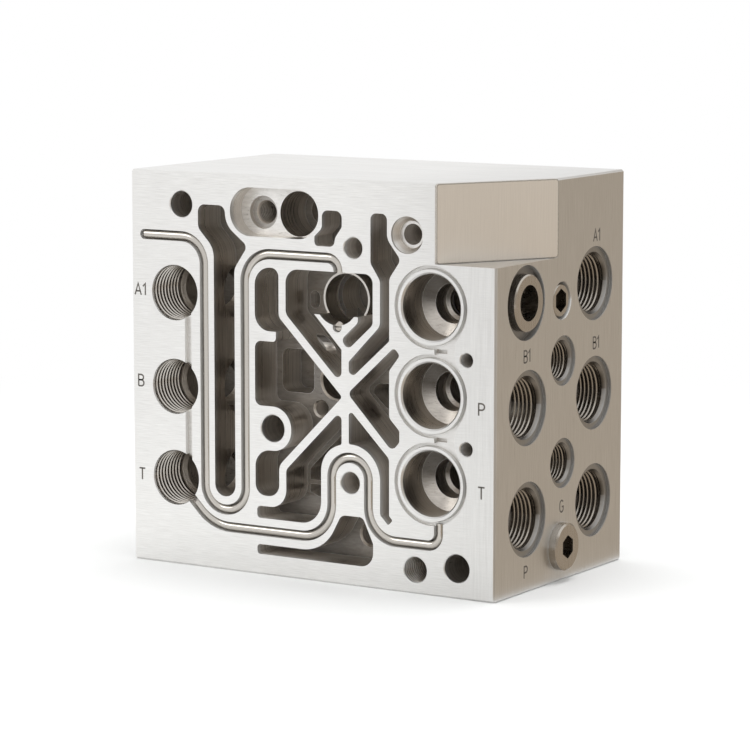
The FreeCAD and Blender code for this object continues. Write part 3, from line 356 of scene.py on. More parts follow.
@dataclass(frozen=True)
class MaskSpans:
    """Where each mask of the shared effects starts and where it is full.

    The first six are metres: depth below the outer faces, X of the right-hand cuts,
    X of the fall to the right, depth behind the front, X of the right-hand bores, and
    X where the front's marks turn upright. The others are parts of a normal, the
    cosine of an edge's turn, and the open share of the sky.
    """

    sunk: Pair = (0.2 * MM, 0.6 * MM)
    right_cuts: Pair = (0.069, 0.0705)
    fall: Pair = (0.01, 0.085)
    behind: Pair = (8.0 * MM, 12.0 * MM)
    right_bores: Pair = (0.0665, 0.0685)
    upright: Pair = (0.062, 0.074)
    facing: Pair = (0.6, 0.8)
    tilt: Pair = (-0.10, 0.28)
    turn: Pair = (0.97, 0.80)
    closed: Pair = (0.85, 0.10)


class SharedEffects:
    """Node groups that several finishes use."""

    EDGE_SAMPLES = 6
    SKY_SAMPLES = 4
    LEDGE_SLACK = 0.1
    UPRIGHT_SHARE = 0.6
    TILTED_SHARE = 0.1
    CLOUD_DETAIL = 3.0

    def __init__(self, frame: BlockFrame) -> None:
        """Build every group once."""
        self.frame = frame
        self.spans = MaskSpans()
        self.inside = self.build_inside()
        self.cut_marks = self.build_cut_marks()
        self.edge = self.build_edge()
        self.crevice = self.build_crevice()
        self.smudge = self.build_smudge()

    def face_depths(self, w: Wiring, spot: Iterable[Socket]) -> list[Socket]:
        """Depth below each of the block's six sides.

        Args:
            w: The group's wiring.
            spot: The point's coordinates.

        Returns:
            The depths' sockets, in metres.
        """
        x, y, z = spot
        half_width, half_depth = self.frame.width / 2 * MM, self.frame.depth / 2 * MM
        return [w.math("ADD", y, half_depth), w.math("SUBTRACT", half_width, x),
                w.math("ADD", x, half_width), w.math("SUBTRACT", half_depth, y), z,
                w.math("SUBTRACT", self.frame.height * MM, z)]

    def corner_depths(self, w: Wiring, spot: Iterable[Socket]) -> list[Socket]:
        """Depth below the cut corner's slope and below the ledge at its foot.

        Args:
            w: The group's wiring.
            spot: The point's coordinates.

        Returns:
            The depths' sockets in metres, a metre too deep where the slope or the
            ledge isn't there.
        """
        x, y, z = spot
        f = self.frame
        run, reach = (f.width - f.corner_column) * MM, f.corner_reach * MM
        length = math.hypot(run, reach)
        across = w.math("SUBTRACT", x, (f.corner_column - f.width / 2) * MM)
        behind = w.math("ADD", y, f.depth / 2 * MM)
        past = w.math("SUBTRACT", w.math("MULTIPLY", across, reach / length),
                      w.math("MULTIPLY", behind, run / length))
        above = w.math("GREATER_THAN", z, (f.corner_row - self.LEDGE_SLACK) * MM)
        slope = w.math("ADD", w.math("MULTIPLY", past, -1.0), w.rest_of(above))
        beyond = w.math("GREATER_THAN", past, 0.0)
        ledge = w.math("ADD", w.math("SUBTRACT", f.corner_row * MM, z),
                       w.rest_of(beyond))
        return [slope, w.math("MAXIMUM", ledge, 0.0)]

    def build_inside(self) -> bpy.types.NodeTree:
        """Mask of what lies below the block's outer faces.

        Returns:
            A group with four outputs. Inside is 0 on the outer faces and 1 well
            inside, Right is 1 in the cuts of the right-hand face, Fall rises over
            the width to the right, and Deep is 1 far behind the front face.
        """
        group, w, given, result = new_group(
            "inside_block", [("Start", 0.6), ("Full", 3.0)],
            ["Inside", "Right", "Fall", "Deep"])
        spot = w.split(w.place())
        nearest = w.least(self.face_depths(w, spot) + self.corner_depths(w, spot))
        span = (w.math("MULTIPLY", given["Start"], MM),
                w.math("MULTIPLY", given["Full"], MM))
        w.feed(result["Inside"], w.ramp(nearest, span))
        w.feed(result["Right"], w.math("MULTIPLY", w.ramp(nearest, self.spans.sunk),
                                       w.ramp(spot["X"], self.spans.right_cuts)))
        w.feed(result["Fall"], w.ramp(spot["X"], self.spans.fall))
        behind = w.math("ADD", spot["Y"], self.frame.depth / 2 * MM)
        w.feed(result["Deep"], w.ramp(behind, self.spans.behind))
        return group

    def build_cut_marks(self) -> bpy.types.NodeTree:
        """Tool marks that run the way each surface was cut.

        Returns:
            A group with the marks as a value from 0 to 1. Floor masks the deep
            surfaces that face the front, where painted shade goes, less so where they
            tilt up to the light, and Shallow masks the floors of shallow cuts.
        """
        group, w, given, result = new_group(
            "cut_marks", [("Inside", 0.0), ("Fine", 1.0), ("Deep", 0.0)],
            ["Marks", "Floor", "Shallow"])
        place = w.place()
        x = w.split(place)["X"]
        normal = w.split(w.node("ShaderNodeNewGeometry").outputs["Normal"])
        facing_front = w.ramp(w.math("ABSOLUTE", normal["Y"]), self.spans.facing)
        facing_side = w.ramp(w.math("ABSOLUTE", normal["X"]), self.spans.facing)
        upright = w.ramp(x, self.spans.upright, 0.0, self.UPRIGHT_SHARE)
        outer = w.mix_number(upright, w.cut(place, ACROSS_FRONT),
                             w.cut(place, DOWN_FRONT))
        front = w.mix_number(given["Inside"], outer, w.cut(place, POCKET_FLOOR))
        rings = w.mix_number(w.ramp(x, self.spans.right_bores),
                             w.cut(place, FRONT_RINGS), w.cut(place, RIGHT_RINGS))
        marks = w.mix_number(facing_front, rings, front)
        side = w.math("MULTIPLY", facing_side, w.rest_of(given["Inside"]))
        marks = w.mix_number(side, marks, w.cut(place, ALONG_SIDE))
        centred = w.math("MULTIPLY", w.math("SUBTRACT", marks, 0.5), given["Fine"])
        w.feed(result["Marks"], w.math("ADD", centred, 0.5, clamp=True))
        # Painted shade: deep floors facing the front are darker, less so where they tilt
        # up to the light.
        lit = w.ramp(normal["Z"], self.spans.tilt, 1.0, self.TILTED_SHARE)
        floor = w.math("MULTIPLY", facing_front, given["Inside"])
        floor = w.math("MULTIPLY", floor, given["Deep"])
        w.feed(result["Floor"], w.math("MULTIPLY", floor, lit))
        w.feed(result["Shallow"],
               w.math("MULTIPLY", facing_front, w.rest_of(given["Deep"])))
        return group

    def build_edge(self) -> bpy.types.NodeTree:
        """Mask of sharp edges, where finishes paint a highlight as a broken edge catches
        the light, and on the plate a dark outline of shade.

        Returns:
            A group whose output is 1 along edges.
        """
        group, w, given, result = new_group("broken_edge", [("Width", 0.3)], ["Edge"])
        rounded = w.node("ShaderNodeBevel", samples=self.EDGE_SAMPLES)
        w.feed(rounded.inputs["Radius"], w.math("MULTIPLY", given["Width"], MM))
        true = w.node("ShaderNodeNewGeometry").outputs["Normal"]
        turn = w.node("ShaderNodeVectorMath", operation="DOT_PRODUCT")
        for slot, normal in zip(turn.inputs, (rounded.outputs["Normal"], true)):
            w.feed(slot, normal)
        w.feed(result["Edge"], w.ramp(turn.outputs["Value"], self.spans.turn))
        return group

    def build_crevice(self) -> bpy.types.NodeTree:
        """Mask of narrow places that little light reaches, read from ambient occlusion.
        Finishes paint shade there, and make the metal rougher and less metallic there.

        Returns:
            A group whose output is 0 on open faces and 1 in a crevice.
        """
        group, w, given, result = new_group("crevice", [("Reach", 9.0)], ["Crevice"])
        sky = w.node("ShaderNodeAmbientOcclusion", samples=self.SKY_SAMPLES)
        w.feed(sky.inputs["Distance"], w.math("MULTIPLY", given["Reach"], MM))
        w.feed(result["Crevice"], w.ramp(sky.outputs["AO"], self.spans.closed))
        return group

    def build_smudge(self) -> bpy.types.NodeTree:
        """Slow changes of sheen over the metal, from handling and coolant.

        Returns:
            A group with the change as a value about 0.
        """
        group, w, given, result = new_group(
            "smudge", [("Scale", 30.0), ("Amount", 0.1)], ["Change"])
        cloud = w.noise(w.place(), given["Scale"], self.CLOUD_DETAIL)
        centred = w.math("SUBTRACT", cloud, 0.5)
        w.feed(result["Change"], w.math("MULTIPLY", centred, given["Amount"]))
        return group


def new_metal(name: str) -> tuple[bpy.types.Material, Wiring, bpy.types.Node]:
    """Start a material.

    Args:
        name: The material's name.

    Returns:
        The material, its wiring and its Principled BSDF.
    """
    material = bpy.data.materials.new(name)
    material.use_nodes = True
    tree = material.node_tree
    return material, Wiring(tree), tree.nodes["Principled BSDF"]


@dataclass(frozen=True)
class Tones:
    """One kind of surface: its linear colours across the tool marks, and its sheen."""

    dark: Colour
    light: Colour
    roughness: float


@dataclass(frozen=True)
class MetalFinish:
    """A machined metal, whose inner cuts may differ in tone from its outer faces, partly
    for their cut finish and partly as painted shade of the hollows.

    Marks sets how strong the tool marks show, and bump how deep. The shades say how
    far a mask paints shade into the colour. The edge colour is painted along edges, as
    a highlight, and on the plate as a dark outline of shade. In crevices it is also
    rougher, by crevice_blur, and less metallic, by crevice_dull.
    """

    name: str
    outer: Tones
    inner: Optional[Tones] = None
    edge_colour: Colour = (0.90, 0.89, 0.87)
    edge_share: float = 0.7
    edge_width: float = 0.3
    marks: float = 1.0
    marks_sheen: float = 0.18
    bump: float = 0.12
    bump_distance: float = 0.02
    inside_start: float = 0.6
    inside_full: float = 3.0
    shallow_spared: float = 0.75
    floor_shade: float = 0.0
    crevice_shade: float = 0.5
    crevice_blur: float = 0.0
    crevice_dull: float = 0.0
    right_shade: float = 0.0
    right_edge_dimming: float = 0.6
    fall_shade: float = 0.0
    shade_colour: Colour = (0.030, 0.025, 0.020)

    def shaded(self, w: Wiring, base: Socket,
               masks: Iterable[tuple[Socket, float]]) -> Socket:
        """Paint shade into a colour where masks say so.

        Args:
            w: The material's wiring.
            base: The colour.
            masks: Each mask with its share of the shade.

        Returns:
            The socket of the colour with its painted shade.
        """
        light: Any = 1.0
        for mask, share in masks:
            light = w.math("MULTIPLY", light, w.rest_of(w.math("MULTIPLY", mask, share)))
        shade = w.math("SUBTRACT", 1.0, light, clamp=True)
        return w.mix_colour(shade, base, self.shade_colour)

    def build(self, effects: SharedEffects) -> bpy.types.Material:
        """Build the material.

        Args:
            effects: The shared node groups.

        Returns:
            The finished material.
        """
        material, w, shader = new_metal(self.name)
        inside = w.group(effects.inside, Start=self.inside_start, Full=self.inside_full)
        cuts = w.group(effects.cut_marks, Inside=inside["Inside"], Deep=inside["Deep"],
                       Fine=self.marks)
        edge = w.group(effects.edge, Width=self.edge_width)["Edge"]
        crevice = w.group(effects.crevice)["Crevice"]
        change = w.group(effects.smudge)["Change"]

        # Inner cuts take the darker inner tones, partly their cut finish and partly
        # painted shade of the hollows; shallow floors mostly keep the outer tones.
        faces, pockets = (w.mix_colour(cuts["Marks"], tones.dark, tones.light)
                          for tones in (self.outer, self.inner or self.outer))
        spared = w.math("MULTIPLY", cuts["Shallow"], self.shallow_spared)
        dulled = w.math("MULTIPLY", inside["Inside"], w.rest_of(spared))
        # Painted shade: deep floors facing the front, crevices, the right-hand cuts and
        # the fall towards the right are darkened as if less light reached them.
        base = self.shaded(w, w.mix_colour(dulled, faces, pockets), (
            (cuts["Floor"], self.floor_shade), (crevice, self.crevice_shade),
            (inside["Right"], self.right_shade), (inside["Fall"], self.fall_shade)))
        # Painted highlight along the edges, dimmer in the right-hand cuts; on the plate
        # the edge colour is dark, a painted outline of shade.
        kept = w.rest_of(w.math("MULTIPLY", inside["Right"], self.right_edge_dimming))
        painted_edge = w.math("MULTIPLY", w.math("MULTIPLY", edge, self.edge_share), kept)
        w.feed(shader.inputs["Base Color"], w.mix_colour(painted_edge, base, self.edge_colour))
        dull = w.math("MULTIPLY", crevice, self.crevice_dull)
        w.feed(shader.inputs["Metallic"], w.rest_of(dull))

        sheen = w.mix_number(inside["Inside"], self.outer.roughness,
                             (self.inner or self.outer).roughness)
        sheen = w.math("ADD", sheen, w.math("MULTIPLY", crevice, self.crevice_blur))
        sheen = w.math("ADD", sheen, change)
        ridges = w.math("MULTIPLY", w.math("SUBTRACT", cuts["Marks"], 0.5),
                        self.marks_sheen)
        w.feed(shader.inputs["Roughness"], w.math("ADD", sheen, ridges, clamp=True))
        bump = w.node("ShaderNodeBump")
        bump.inputs["Strength"].default_value = self.bump
        bump.inputs["Distance"].default_value = self.bump_distance * MM
        w.feed(bump.inputs["Height"], cuts["Marks"])
        w.feed(shader.inputs["Normal"], bump.outputs["Normal"])
        return material


@dataclass(frozen=True)
class InkFinish:
    """The dull dark floor of an engraved letter, mottled by the engraving tool."""

    name: str = "engraved_letter"
    tones: Tones = Tones((0.085, 0.075, 0.065), (0.16, 0.145, 0.13), 0.62)
    mottle: CutPattern = CutPattern((1400.0, 1400.0, 1400.0), 3.0, 0.6)
    metallic: float = 0.35

    def build(self, effects: SharedEffects) -> bpy.types.Material:
        """Build the material.

        Args:
            effects: The shared node groups.

        Returns:
            The finished material.
        """
        material, w, shader = new_metal(self.name)
        colour = w.mix_colour(w.cut(w.place(), self.mottle), self.tones.dark,
                              self.tones.light)
        w.feed(shader.inputs["Base Color"], colour)
        change = w.group(effects.smudge)["Change"]
        w.feed(shader.inputs["Roughness"], w.math("ADD", self.tones.roughness, change))
        shader.inputs["Metallic"].default_value = self.metallic
        return material


# Inner tones are darker partly for the milled finish and partly as painted shade of the
# hollows. The floor, crevice, right and fall shades are painted shade.
ALUMINIUM = MetalFinish(
    "machined_aluminium",
    outer=Tones((0.64, 0.63, 0.61), (0.96, 0.955, 0.94), 0.34),
    inner=Tones((0.44, 0.40, 0.355), (0.86, 0.81, 0.75), 0.30),
    marks=1.5, floor_shade=0.88, crevice_shade=0.0, crevice_blur=0.28,
    crevice_dull=0.70, right_shade=0.50, fall_shade=0.15)
# Lit and shaded copies of one thread metal: the flanks facing the mouth are painted
# lighter, the crests and back flanks darker as painted shade.
THREAD_LIT_FLANK = MetalFinish(
    "thread_lit_flank",
    outer=Tones((0.50, 0.47, 0.43), (0.70, 0.665, 0.62), 0.24),
    inner=Tones((0.36, 0.33, 0.29), (0.56, 0.52, 0.47), 0.26),
    edge_width=0.15, crevice_shade=0.0)
THREAD_SHADED_CREST = MetalFinish(
    "thread_shaded_crest",
    outer=Tones((0.25, 0.225, 0.195), (0.36, 0.33, 0.29), 0.36),
    inner=Tones((0.19, 0.168, 0.14), (0.31, 0.28, 0.24), 0.36),
    edge_share=0.0, edge_width=0.1, crevice_shade=0.2)
TUBE = MetalFinish(
    "polished_tube", outer=Tones((0.46, 0.43, 0.39), (0.62, 0.59, 0.55), 0.15),
    edge_share=0.0, marks=0.5, bump=0.04, crevice_shade=0.25)
INSERT = MetalFinish(
    "turned_steel",
    outer=Tones((0.42, 0.385, 0.34), (0.60, 0.56, 0.51), 0.26),
    inner=Tones((0.30, 0.27, 0.235), (0.48, 0.445, 0.40), 0.28),
    edge_width=0.25, edge_share=0.5, crevice_shade=0.6)
SEAL = MetalFinish(
    "dark_ring", outer=Tones((0.03, 0.03, 0.03), (0.06, 0.055, 0.05), 0.45),
    edge_share=0.0, marks=0.4)
SLEEVE = MetalFinish(
    "honed_sleeve",
    outer=Tones((0.50, 0.47, 0.43), (0.70, 0.67, 0.63), 0.20),
    inner=Tones((0.40, 0.37, 0.33), (0.60, 0.57, 0.52), 0.22),
    edge_width=0.2, crevice_shade=0.25)
# The plate's dark edge colour is a painted outline of shade in the gap around it.
PLATE = MetalFinish(
    "satin_plate", outer=Tones((0.76, 0.71, 0.645), (0.92, 0.87, 0.80), 0.42),
    edge_colour=(0.10, 0.09, 0.08), edge_share=0.95, edge_width=1.0, marks=1.2,
    bump=0.06, crevice_shade=0.3)
LETTER = InkFinish()


def mesh_piece(name: str, points: list[Vector], faces: list[tuple[int, ...]],
               material: bpy.types.Material,
               second: Optional[bpy.types.Material] = None,
               seconds: Iterable[int] = ()) -> bpy.types.Object:
    """Make a piece that rides on the block.

    Args:
        name: The piece's name.
        points: Its vertices in the row frame, in metres.
        faces: Vertex numbers of each face.
        material: Its finish.
        second: A second finish.
        seconds: Numbers of the faces that take the second finish.

    Returns:
        The new object.
    """
    mesh = bpy.data.meshes.new(name)
    mesh.from_pydata([tuple(p) for p in points], [], faces)
    mesh.polygons.foreach_set("use_smooth", [True] * len(mesh.polygons))
    mesh.set_sharp_from_angle(angle=SHARP_ANGLE)
    mesh.materials.append(material)
    if second is not None:
        mesh.materials.append(second)
        for number in seconds:
            mesh.polygons[number].material_index = 1
    piece = bpy.data.objects.new(name, mesh)
    bpy.context.scene.collection.objects.link(piece)
    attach(piece, "root")
    return piece


@dataclass(frozen=True)
class ThreadSize:
    """Sizes of one kind of thread, in millimetres.

    Where a cross passage opens the wall, passage_depth and passage_radius say where
    it lies, and the crests stop at its edge. The crest's flat and the feet of its
    flanks are shares of the pitch from its middle, and flank is the share that the
    flank towards the mouth takes.
    """

    root_radius: float
    crest_radius: float
    pitch: float
    start: float
    stop: float
    passage_depth: float = 0.0
    passage_radius: float = 0.0
    flank: float = 0.20
    flat_start: float = -0.16
    flat_stop: float = 0.18
    foot_stop: float = 0.38
    foot_sunk: float = 0.15
    least_growth: float = 0.05
    steps: int = 72


FRONT_THREAD = ThreadSize(
    root_radius=10.6, crest_radius=10.22, pitch=2.05, start=1.5, stop=18.2,
    passage_depth=17.7, passage_radius=10.9)
SIDE_THREAD = ThreadSize(
    root_radius=11.3, crest_radius=10.85, pitch=1.75, start=3.4, stop=12.8, flank=0.30)
SMALL_THREAD = ThreadSize(
    root_radius=7.2, crest_radius=6.85, pitch=1.35, start=2.7, stop=12.4, flank=0.30)
TAP_THREAD = ThreadSize(
    root_radius=4.9, crest_radius=4.75, pitch=1.35, start=1.1, stop=22.8)
SEAT_THREAD = ThreadSize(
    root_radius=4.0, crest_radius=3.9, pitch=1.1, start=11.6, stop=22.6)


@dataclass(frozen=True)
class Thread:
    """Helical crests on the wall of one tapped hole."""

    name: str
    face: Face
    place: Pair
    size: ThreadSize

    def walled(self, angle: float, depth: float) -> bool:
        """Tell whether the hole has a wall here.

        Args:
            angle: Angle about the hole's axis.
            depth: Depth below the face.

        Returns:
            False where the cross passage opens the wall.
        """
        size = self.size
        if not size.passage_radius or math.cos(angle) <= 0:
            return True
        off = abs(size.passage_depth - depth)
        reach = size.passage_radius + size.pitch / 2
        if off >= reach:
            return True
        half = math.sqrt(reach ** 2 - off ** 2)
        return size.root_radius * abs(math.sin(angle)) > half

    def section(self, angle: float, depth: float, grown: float) -> list[Vector]:
        """Points of the crest's section at one angle.

        Args:
            angle: Angle about the hole's axis.
            depth: Depth of the crest's middle.
            grown: Share of the crest's full height.

        Returns:
            Four points in the row frame.
        """
        size = self.size
        crest = size.root_radius - (size.root_radius - size.crest_radius) * grown
        foot = size.root_radius + size.foot_sunk
        spots = ((size.flat_start - size.flank, foot), (size.flat_start, crest),
                 (size.flat_stop, crest), (size.foot_stop, foot))
        column, row = self.place
        return [FRAME.point(self.face, column + radius * math.cos(angle),
                            row + radius * math.sin(angle), depth + share * size.pitch)
                for share, radius in spots]

    def build(self, material: bpy.types.Material,
              dull: bpy.types.Material) -> bpy.types.Object:
        """Build the crests, which grow and fade over their first and last half turn.

        Args:
            material: Finish of the flanks that face the mouth, painted lighter as the
                lit side.
            dull: Finish of the crests and of the flanks behind them, painted darker as
                shade.

        Returns:
            The piece.
        """
        size = self.size
        points: list[Vector] = []
        faces: list[tuple[int, ...]] = []
        dulled: list[int] = []
        total = int((size.stop - size.start) / size.pitch * size.steps)
        half_turn = size.steps / 2
        previous: Optional[int] = None
        for step in range(total + 1):
            angle = 2 * math.pi * step / size.steps
            depth = size.start + size.pitch * step / size.steps
            if not self.walled(angle, depth):
                if previous is not None:
                    faces.append((previous + 3, previous + 2, previous + 1, previous))
                previous = None
                continue
            grown = min(1.0, step / half_turn, (total - step) / half_turn)
            first = len(points)
            points += self.section(angle, depth, max(grown, size.least_growth))
            if previous is None:
                faces.append((first, first + 1, first + 2, first + 3))
            else:
                for k in range(4):
                    after = (k + 1) % 4
                    # Crest and back flank take the darker finish, a painted shade; the
                    # flank facing the mouth keeps the lighter, painted-light one.
                    if k:
                        dulled.append(len(faces))
                    faces.append((previous + k, previous + after, first + after,
                                  first + k))
            previous = first
        if previous is not None:
            faces.append((previous + 3, previous + 2, previous + 1, previous))
        return mesh_piece(self.name, points, faces, material, dull, dulled)


@dataclass(frozen=True)
class PortThreads:
    """Every tapped hole's crests, by the holes' places on their faces."""

    front_ports: tuple[Pair, ...] = ((20.6, 107.5), (20.6, 70.6), (20.6, 34.5))
    side_ports: tuple[Pair, ...] = (
        (24.0, 70.4), (24.0, 28.0), (76.3, 112.5), (76.3, 69.8), (76.3, 27.6))
    small_ports: tuple[Pair, ...] = ((51.4, 85.2), (51.4, 45.7))
    base_tap: Pair = (130.4, 9.1)
    seat: Pair = (57.2, 140.0)

    def plan(self) -> list[Thread]:
        """List each tapped hole's thread."""
        rows = (("front_thread", Face.FRONT, self.front_ports, FRONT_THREAD),
                ("side_thread", Face.RIGHT, self.side_ports, SIDE_THREAD),
                ("small_thread", Face.RIGHT, self.small_ports, SMALL_THREAD))
        return [Thread(f"{name}_{number}", face, place, size)
                for name, face, places, size in rows
                for number, place in enumerate(places, start=1)] + [
            Thread("base_tap_thread", Face.FRONT, self.base_tap, TAP_THREAD),
            Thread("seat_thread", Face.FRONT, self.seat, SEAT_THREAD)]

    def build(self, material: bpy.types.Material,
              dull: bpy.types.Material) -> list[bpy.types.Object]:
        """Build every thread.

        Args:
            material: Finish of the flanks that face the mouth, painted lighter as the
                lit side.
            dull: Finish of the crests and of the flanks behind them, painted darker as
                shade.

        Returns:
            The pieces.
        """
        return [thread.build(material, dull) for thread in self.plan()]


def bowl(middle: Pair, across: float, up: float, start: float, stop: float,
         steps: int = 14) -> list[Pair]:
    """Points along part of an ellipse, for the round strokes of a letter.

    Args:
        middle: Its middle.
        across: Half its width.
        up: Half its height.
        start: First angle in degrees.
        stop: Last angle in degrees.
        steps: How many runs it is drawn in.

    Returns:
        The points.
    """
    angles = [math.radians(start + (stop - start) * i / steps) for i in range(steps + 1)]
    return [(middle[0] + across * math.cos(a), middle[1] + up * math.sin(a))
            for a in angles]


# Each letter's width and its strokes, on a body one unit high.
STROKES: dict[str, tuple[float, list[list[Pair]]]] = {
    "A": (0.66, [[(0.0, 0.0), (0.33, 1.0), (0.66, 0.0)], [(0.13, 0.33), (0.53, 0.33)]]),
    "B": (0.56, [[(0.0, 0.0), (0.0, 1.0), *bowl((0.26, 0.765), 0.26, 0.235, 90, -90),
                  (0.0, 0.53)],
                 [(0.0, 0.53), *bowl((0.28, 0.265), 0.28, 0.265, 90, -90), (0.0, 0.0)]]),
    "G": (0.64, [[*bowl((0.32, 0.66), 0.31, 0.34, 35, 180),
                  *bowl((0.32, 0.34), 0.31, 0.34, 180, 330), (0.62, 0.45),
                  (0.36, 0.45)]]),
    "P": (0.56, [[(0.0, 0.0), (0.0, 1.0), *bowl((0.27, 0.735), 0.28, 0.265, 90, -90),
                  (0.0, 0.47)]]),
    "T": (0.62, [[(0.0, 1.0), (0.62, 1.0)], [(0.31, 1.0), (0.31, 0.0)]]),
    "1": (0.30, [[(0.0, 0.76), (0.26, 1.0), (0.26, 0.0)]]),
}


@dataclass(frozen=True)
class PortLetter:
    """One generic port letter, engraved beside its port. Sizes are millimetres.

    A mitred corner is no sharper than least_lean, the cosine of its lean, allows.
    """

    name: str
    text: str
    face: Face
    column: float
    row: float
    height: float = 4.5
    stroke: float = 0.62
    gap: float = 0.8
    proud: float = 0.03
    sunk: float = 0.05
    least_lean: float = 0.45

    def ribbon(self, line: list[Pair]) -> list[tuple[Vector, Vector]]:
        """Widen a stroke, with mitred corners.

        Args:
            line: The stroke's points.

        Returns:
            Both sides of the stroke at each of its points.
        """
        spots = [Vector(p) for p in line]
        sides = []
        for i, spot in enumerate(spots):
            before = (spot - spots[i - 1]).normalized() if i else None
            after = (spots[i + 1] - spot).normalized() if i + 1 < len(spots) else None
            way = ((before or after) + (after or before)).normalized()
            across = Vector((-way.y, way.x))
            lean = max(self.least_lean, abs(way.dot(before or after)))
            sides.append((spot + across * self.stroke / 2 / lean,
                          spot - across * self.stroke / 2 / lean))
        return sides

    def build(self, material: bpy.types.Material) -> bpy.types.Object:
        """Build the letters as thin strokes on the face.

        Args:
            material: The engraving's finish.

        Returns:
            The piece.
        """
        widths = [STROKES[letter][0] * self.height for letter in self.text]
        left = -(sum(widths) + self.gap * (len(widths) - 1)) / 2
        points: list[Vector] = []
        faces: list[tuple[int, ...]] = []
        for letter, width in zip(self.text, widths):
            for line in STROKES[letter][1]:
                drawn = [(left + x * self.height, (y - 0.5) * self.height)
                         for x, y in line]
                first = len(points)
                for sides in self.ribbon(drawn):
                    for depth in (-self.proud, self.sunk):
                        points += [FRAME.point(self.face, self.column + p.x,
                                               self.row + p.y, depth) for p in sides]
                last = first + 4 * (len(drawn) - 1)
                faces += [(first, first + 2, first + 3, first + 1),
                          (last + 1, last + 3, last + 2, last)]
                for here in range(first, last, 4):
                    for a, b in ((0, 1), (1, 3), (3, 2), (2, 0)):
                        faces.append((here + a, here + b, here + 4 + b, here + 4 + a))
            left += width + self.gap
        return mesh_piece(self.name, points, faces, material)


@dataclass(frozen=True)
class PortLetters:
    """All port letters of the front and right faces."""

    letters: tuple[PortLetter, ...] = (
        PortLetter("letter_front_a", "A1", Face.FRONT, 4.1, 107.9),
        PortLetter("letter_front_b", "B", Face.FRONT, 4.1, 71.8),
        PortLetter("letter_front_t", "T", Face.FRONT, 4.2, 34.5),
        PortLetter("letter_cavity_p", "P", Face.FRONT, 159.0, 72.3),
        PortLetter("letter_cavity_t", "T", Face.FRONT, 159.0, 41.0),
        PortLetter("letter_side_b", "B1", Face.RIGHT, 23.3, 90.0),
        PortLetter("letter_rear_a", "A1", Face.RIGHT, 77.5, 131.0),
        PortLetter("letter_rear_b", "B1", Face.RIGHT, 77.7, 89.3),
        PortLetter("letter_gauge", "G", Face.RIGHT, 51.0, 29.0),
        PortLetter("letter_side_p", "P", Face.RIGHT, 23.3, 8.0),
    )

    def build(self, material: bpy.types.Material) -> list[bpy.types.Object]:
        """Build every letter and return the pieces."""
        return [letter.build(material) for letter in self.letters]


@dataclass(frozen=True)
class SealRing:
    """The dark ring in the inner bore of the upper cavity. Sizes are millimetres."""

    name: str = "cavity_ring"
    column: float = 137.0
    row: float = 108.9
    depth: float = 27.0
    radius: float = 6.15
    thickness: float = 0.45
    steps: int = 96
    sides: int = 12

    def build(self, material: bpy.types.Material) -> bpy.types.Object:
        """Build the ring.

        Args:
            material: Its finish.

        Returns:
            The piece.
        """
        points: list[Vector] = []
        faces: list[tuple[int, ...]] = []
        for i in range(self.steps):
            angle = 2 * math.pi * i / self.steps
            here, there = i * self.sides, (i + 1) % self.steps * self.sides
            for j in range(self.sides):
                around = 2 * math.pi * j / self.sides
                radius = self.radius + self.thickness * math.cos(around)
                points.append(FRAME.point(
                    Face.FRONT, self.column + radius * math.cos(angle),
                    self.row + radius * math.sin(angle),
                    self.depth + self.thickness * math.sin(around)))
                k = (j + 1) % self.sides
                faces.append((here + j, there + j, there + k, here + k))
        return mesh_piece(self.name, points, faces, material)


class BlockDress:
    """Gives the CAD nodes their finishes and adds the pieces made here."""

    FINISH_OF = {
        "manifold_block": ALUMINIUM, "upper_pilot_tube": TUBE, "lower_pilot_tube": TUBE,
        "valve_sleeve": SLEEVE, "orifice_screw": INSERT, "seat_collar": INSERT,
        "socket_plug": INSERT, "gauge_port_plug": INSERT, "corner_plate": PLATE}

    def __init__(self, nodes: dict[str, bpy.types.Object]) -> None:
        """Keep the CAD nodes and build the shared effects."""
        self.nodes = nodes
        self.effects = SharedEffects(FRAME)
        self.made: dict[str, bpy.types.Material] = {}

    def finish(self, kind: MetalFinish | InkFinish) -> bpy.types.Material:
        """Find the material of a finish, and build it on first use.

        Args:
            kind: The finish.

        Returns:
            Its material.
        """
        if kind.name not in self.made:
            self.made[kind.name] = kind.build(self.effects)
        return self.made[kind.name]

    def dress_nodes(self) -> None:
        """Put each CAD node's finish on it."""
        for name, kind in self.FINISH_OF.items():
            node = self.nodes[name]
            node.data.materials.clear()
            node.data.materials.append(self.finish(kind))
            LOG.info("node %s: %s", name, kind.name)

    def build(self) -> None:
        """Dress the nodes and add threads, letters and the ring."""
        self.dress_nodes()
        pieces = PortThreads().build(self.finish(THREAD_LIT_FLANK), self.finish(THREAD_SHADED_CREST))
        pieces += PortLetters().build(self.finish(LETTER))
        pieces.append(SealRing().build(self.finish(SEAL)))
        for piece in pieces:
            LOG.info("piece %s: %d faces", piece.name, len(piece.data.polygons))


def plain_sheet(name: str, width: float,
                height: float) -> tuple[bpy.types.Object, Wiring]:
    """Make a flat sheet for the studio.

    Args:
        name: The sheet's name.
        width: Its width, in metres.
        height: Its height, in metres.

    Returns:
        The sheet and the wiring of its bare material.
    """
    mesh = bpy.data.meshes.new(name)
    corners = [(x * width / 2, y * height / 2, 0)
               for x, y in ((-1, -1), (1, -1), (1, 1), (-1, 1))]
    mesh.from_pydata(corners, [], [(0, 1, 2, 3)])
    material = bpy.data.materials.new(name)
    material.use_nodes = True
    material.node_tree.nodes.clear()
    mesh.materials.append(material)
    sheet = bpy.data.objects.new(name, mesh)
    bpy.context.scene.collection.objects.link(sheet)
    return sheet, Wiring(material.node_tree)


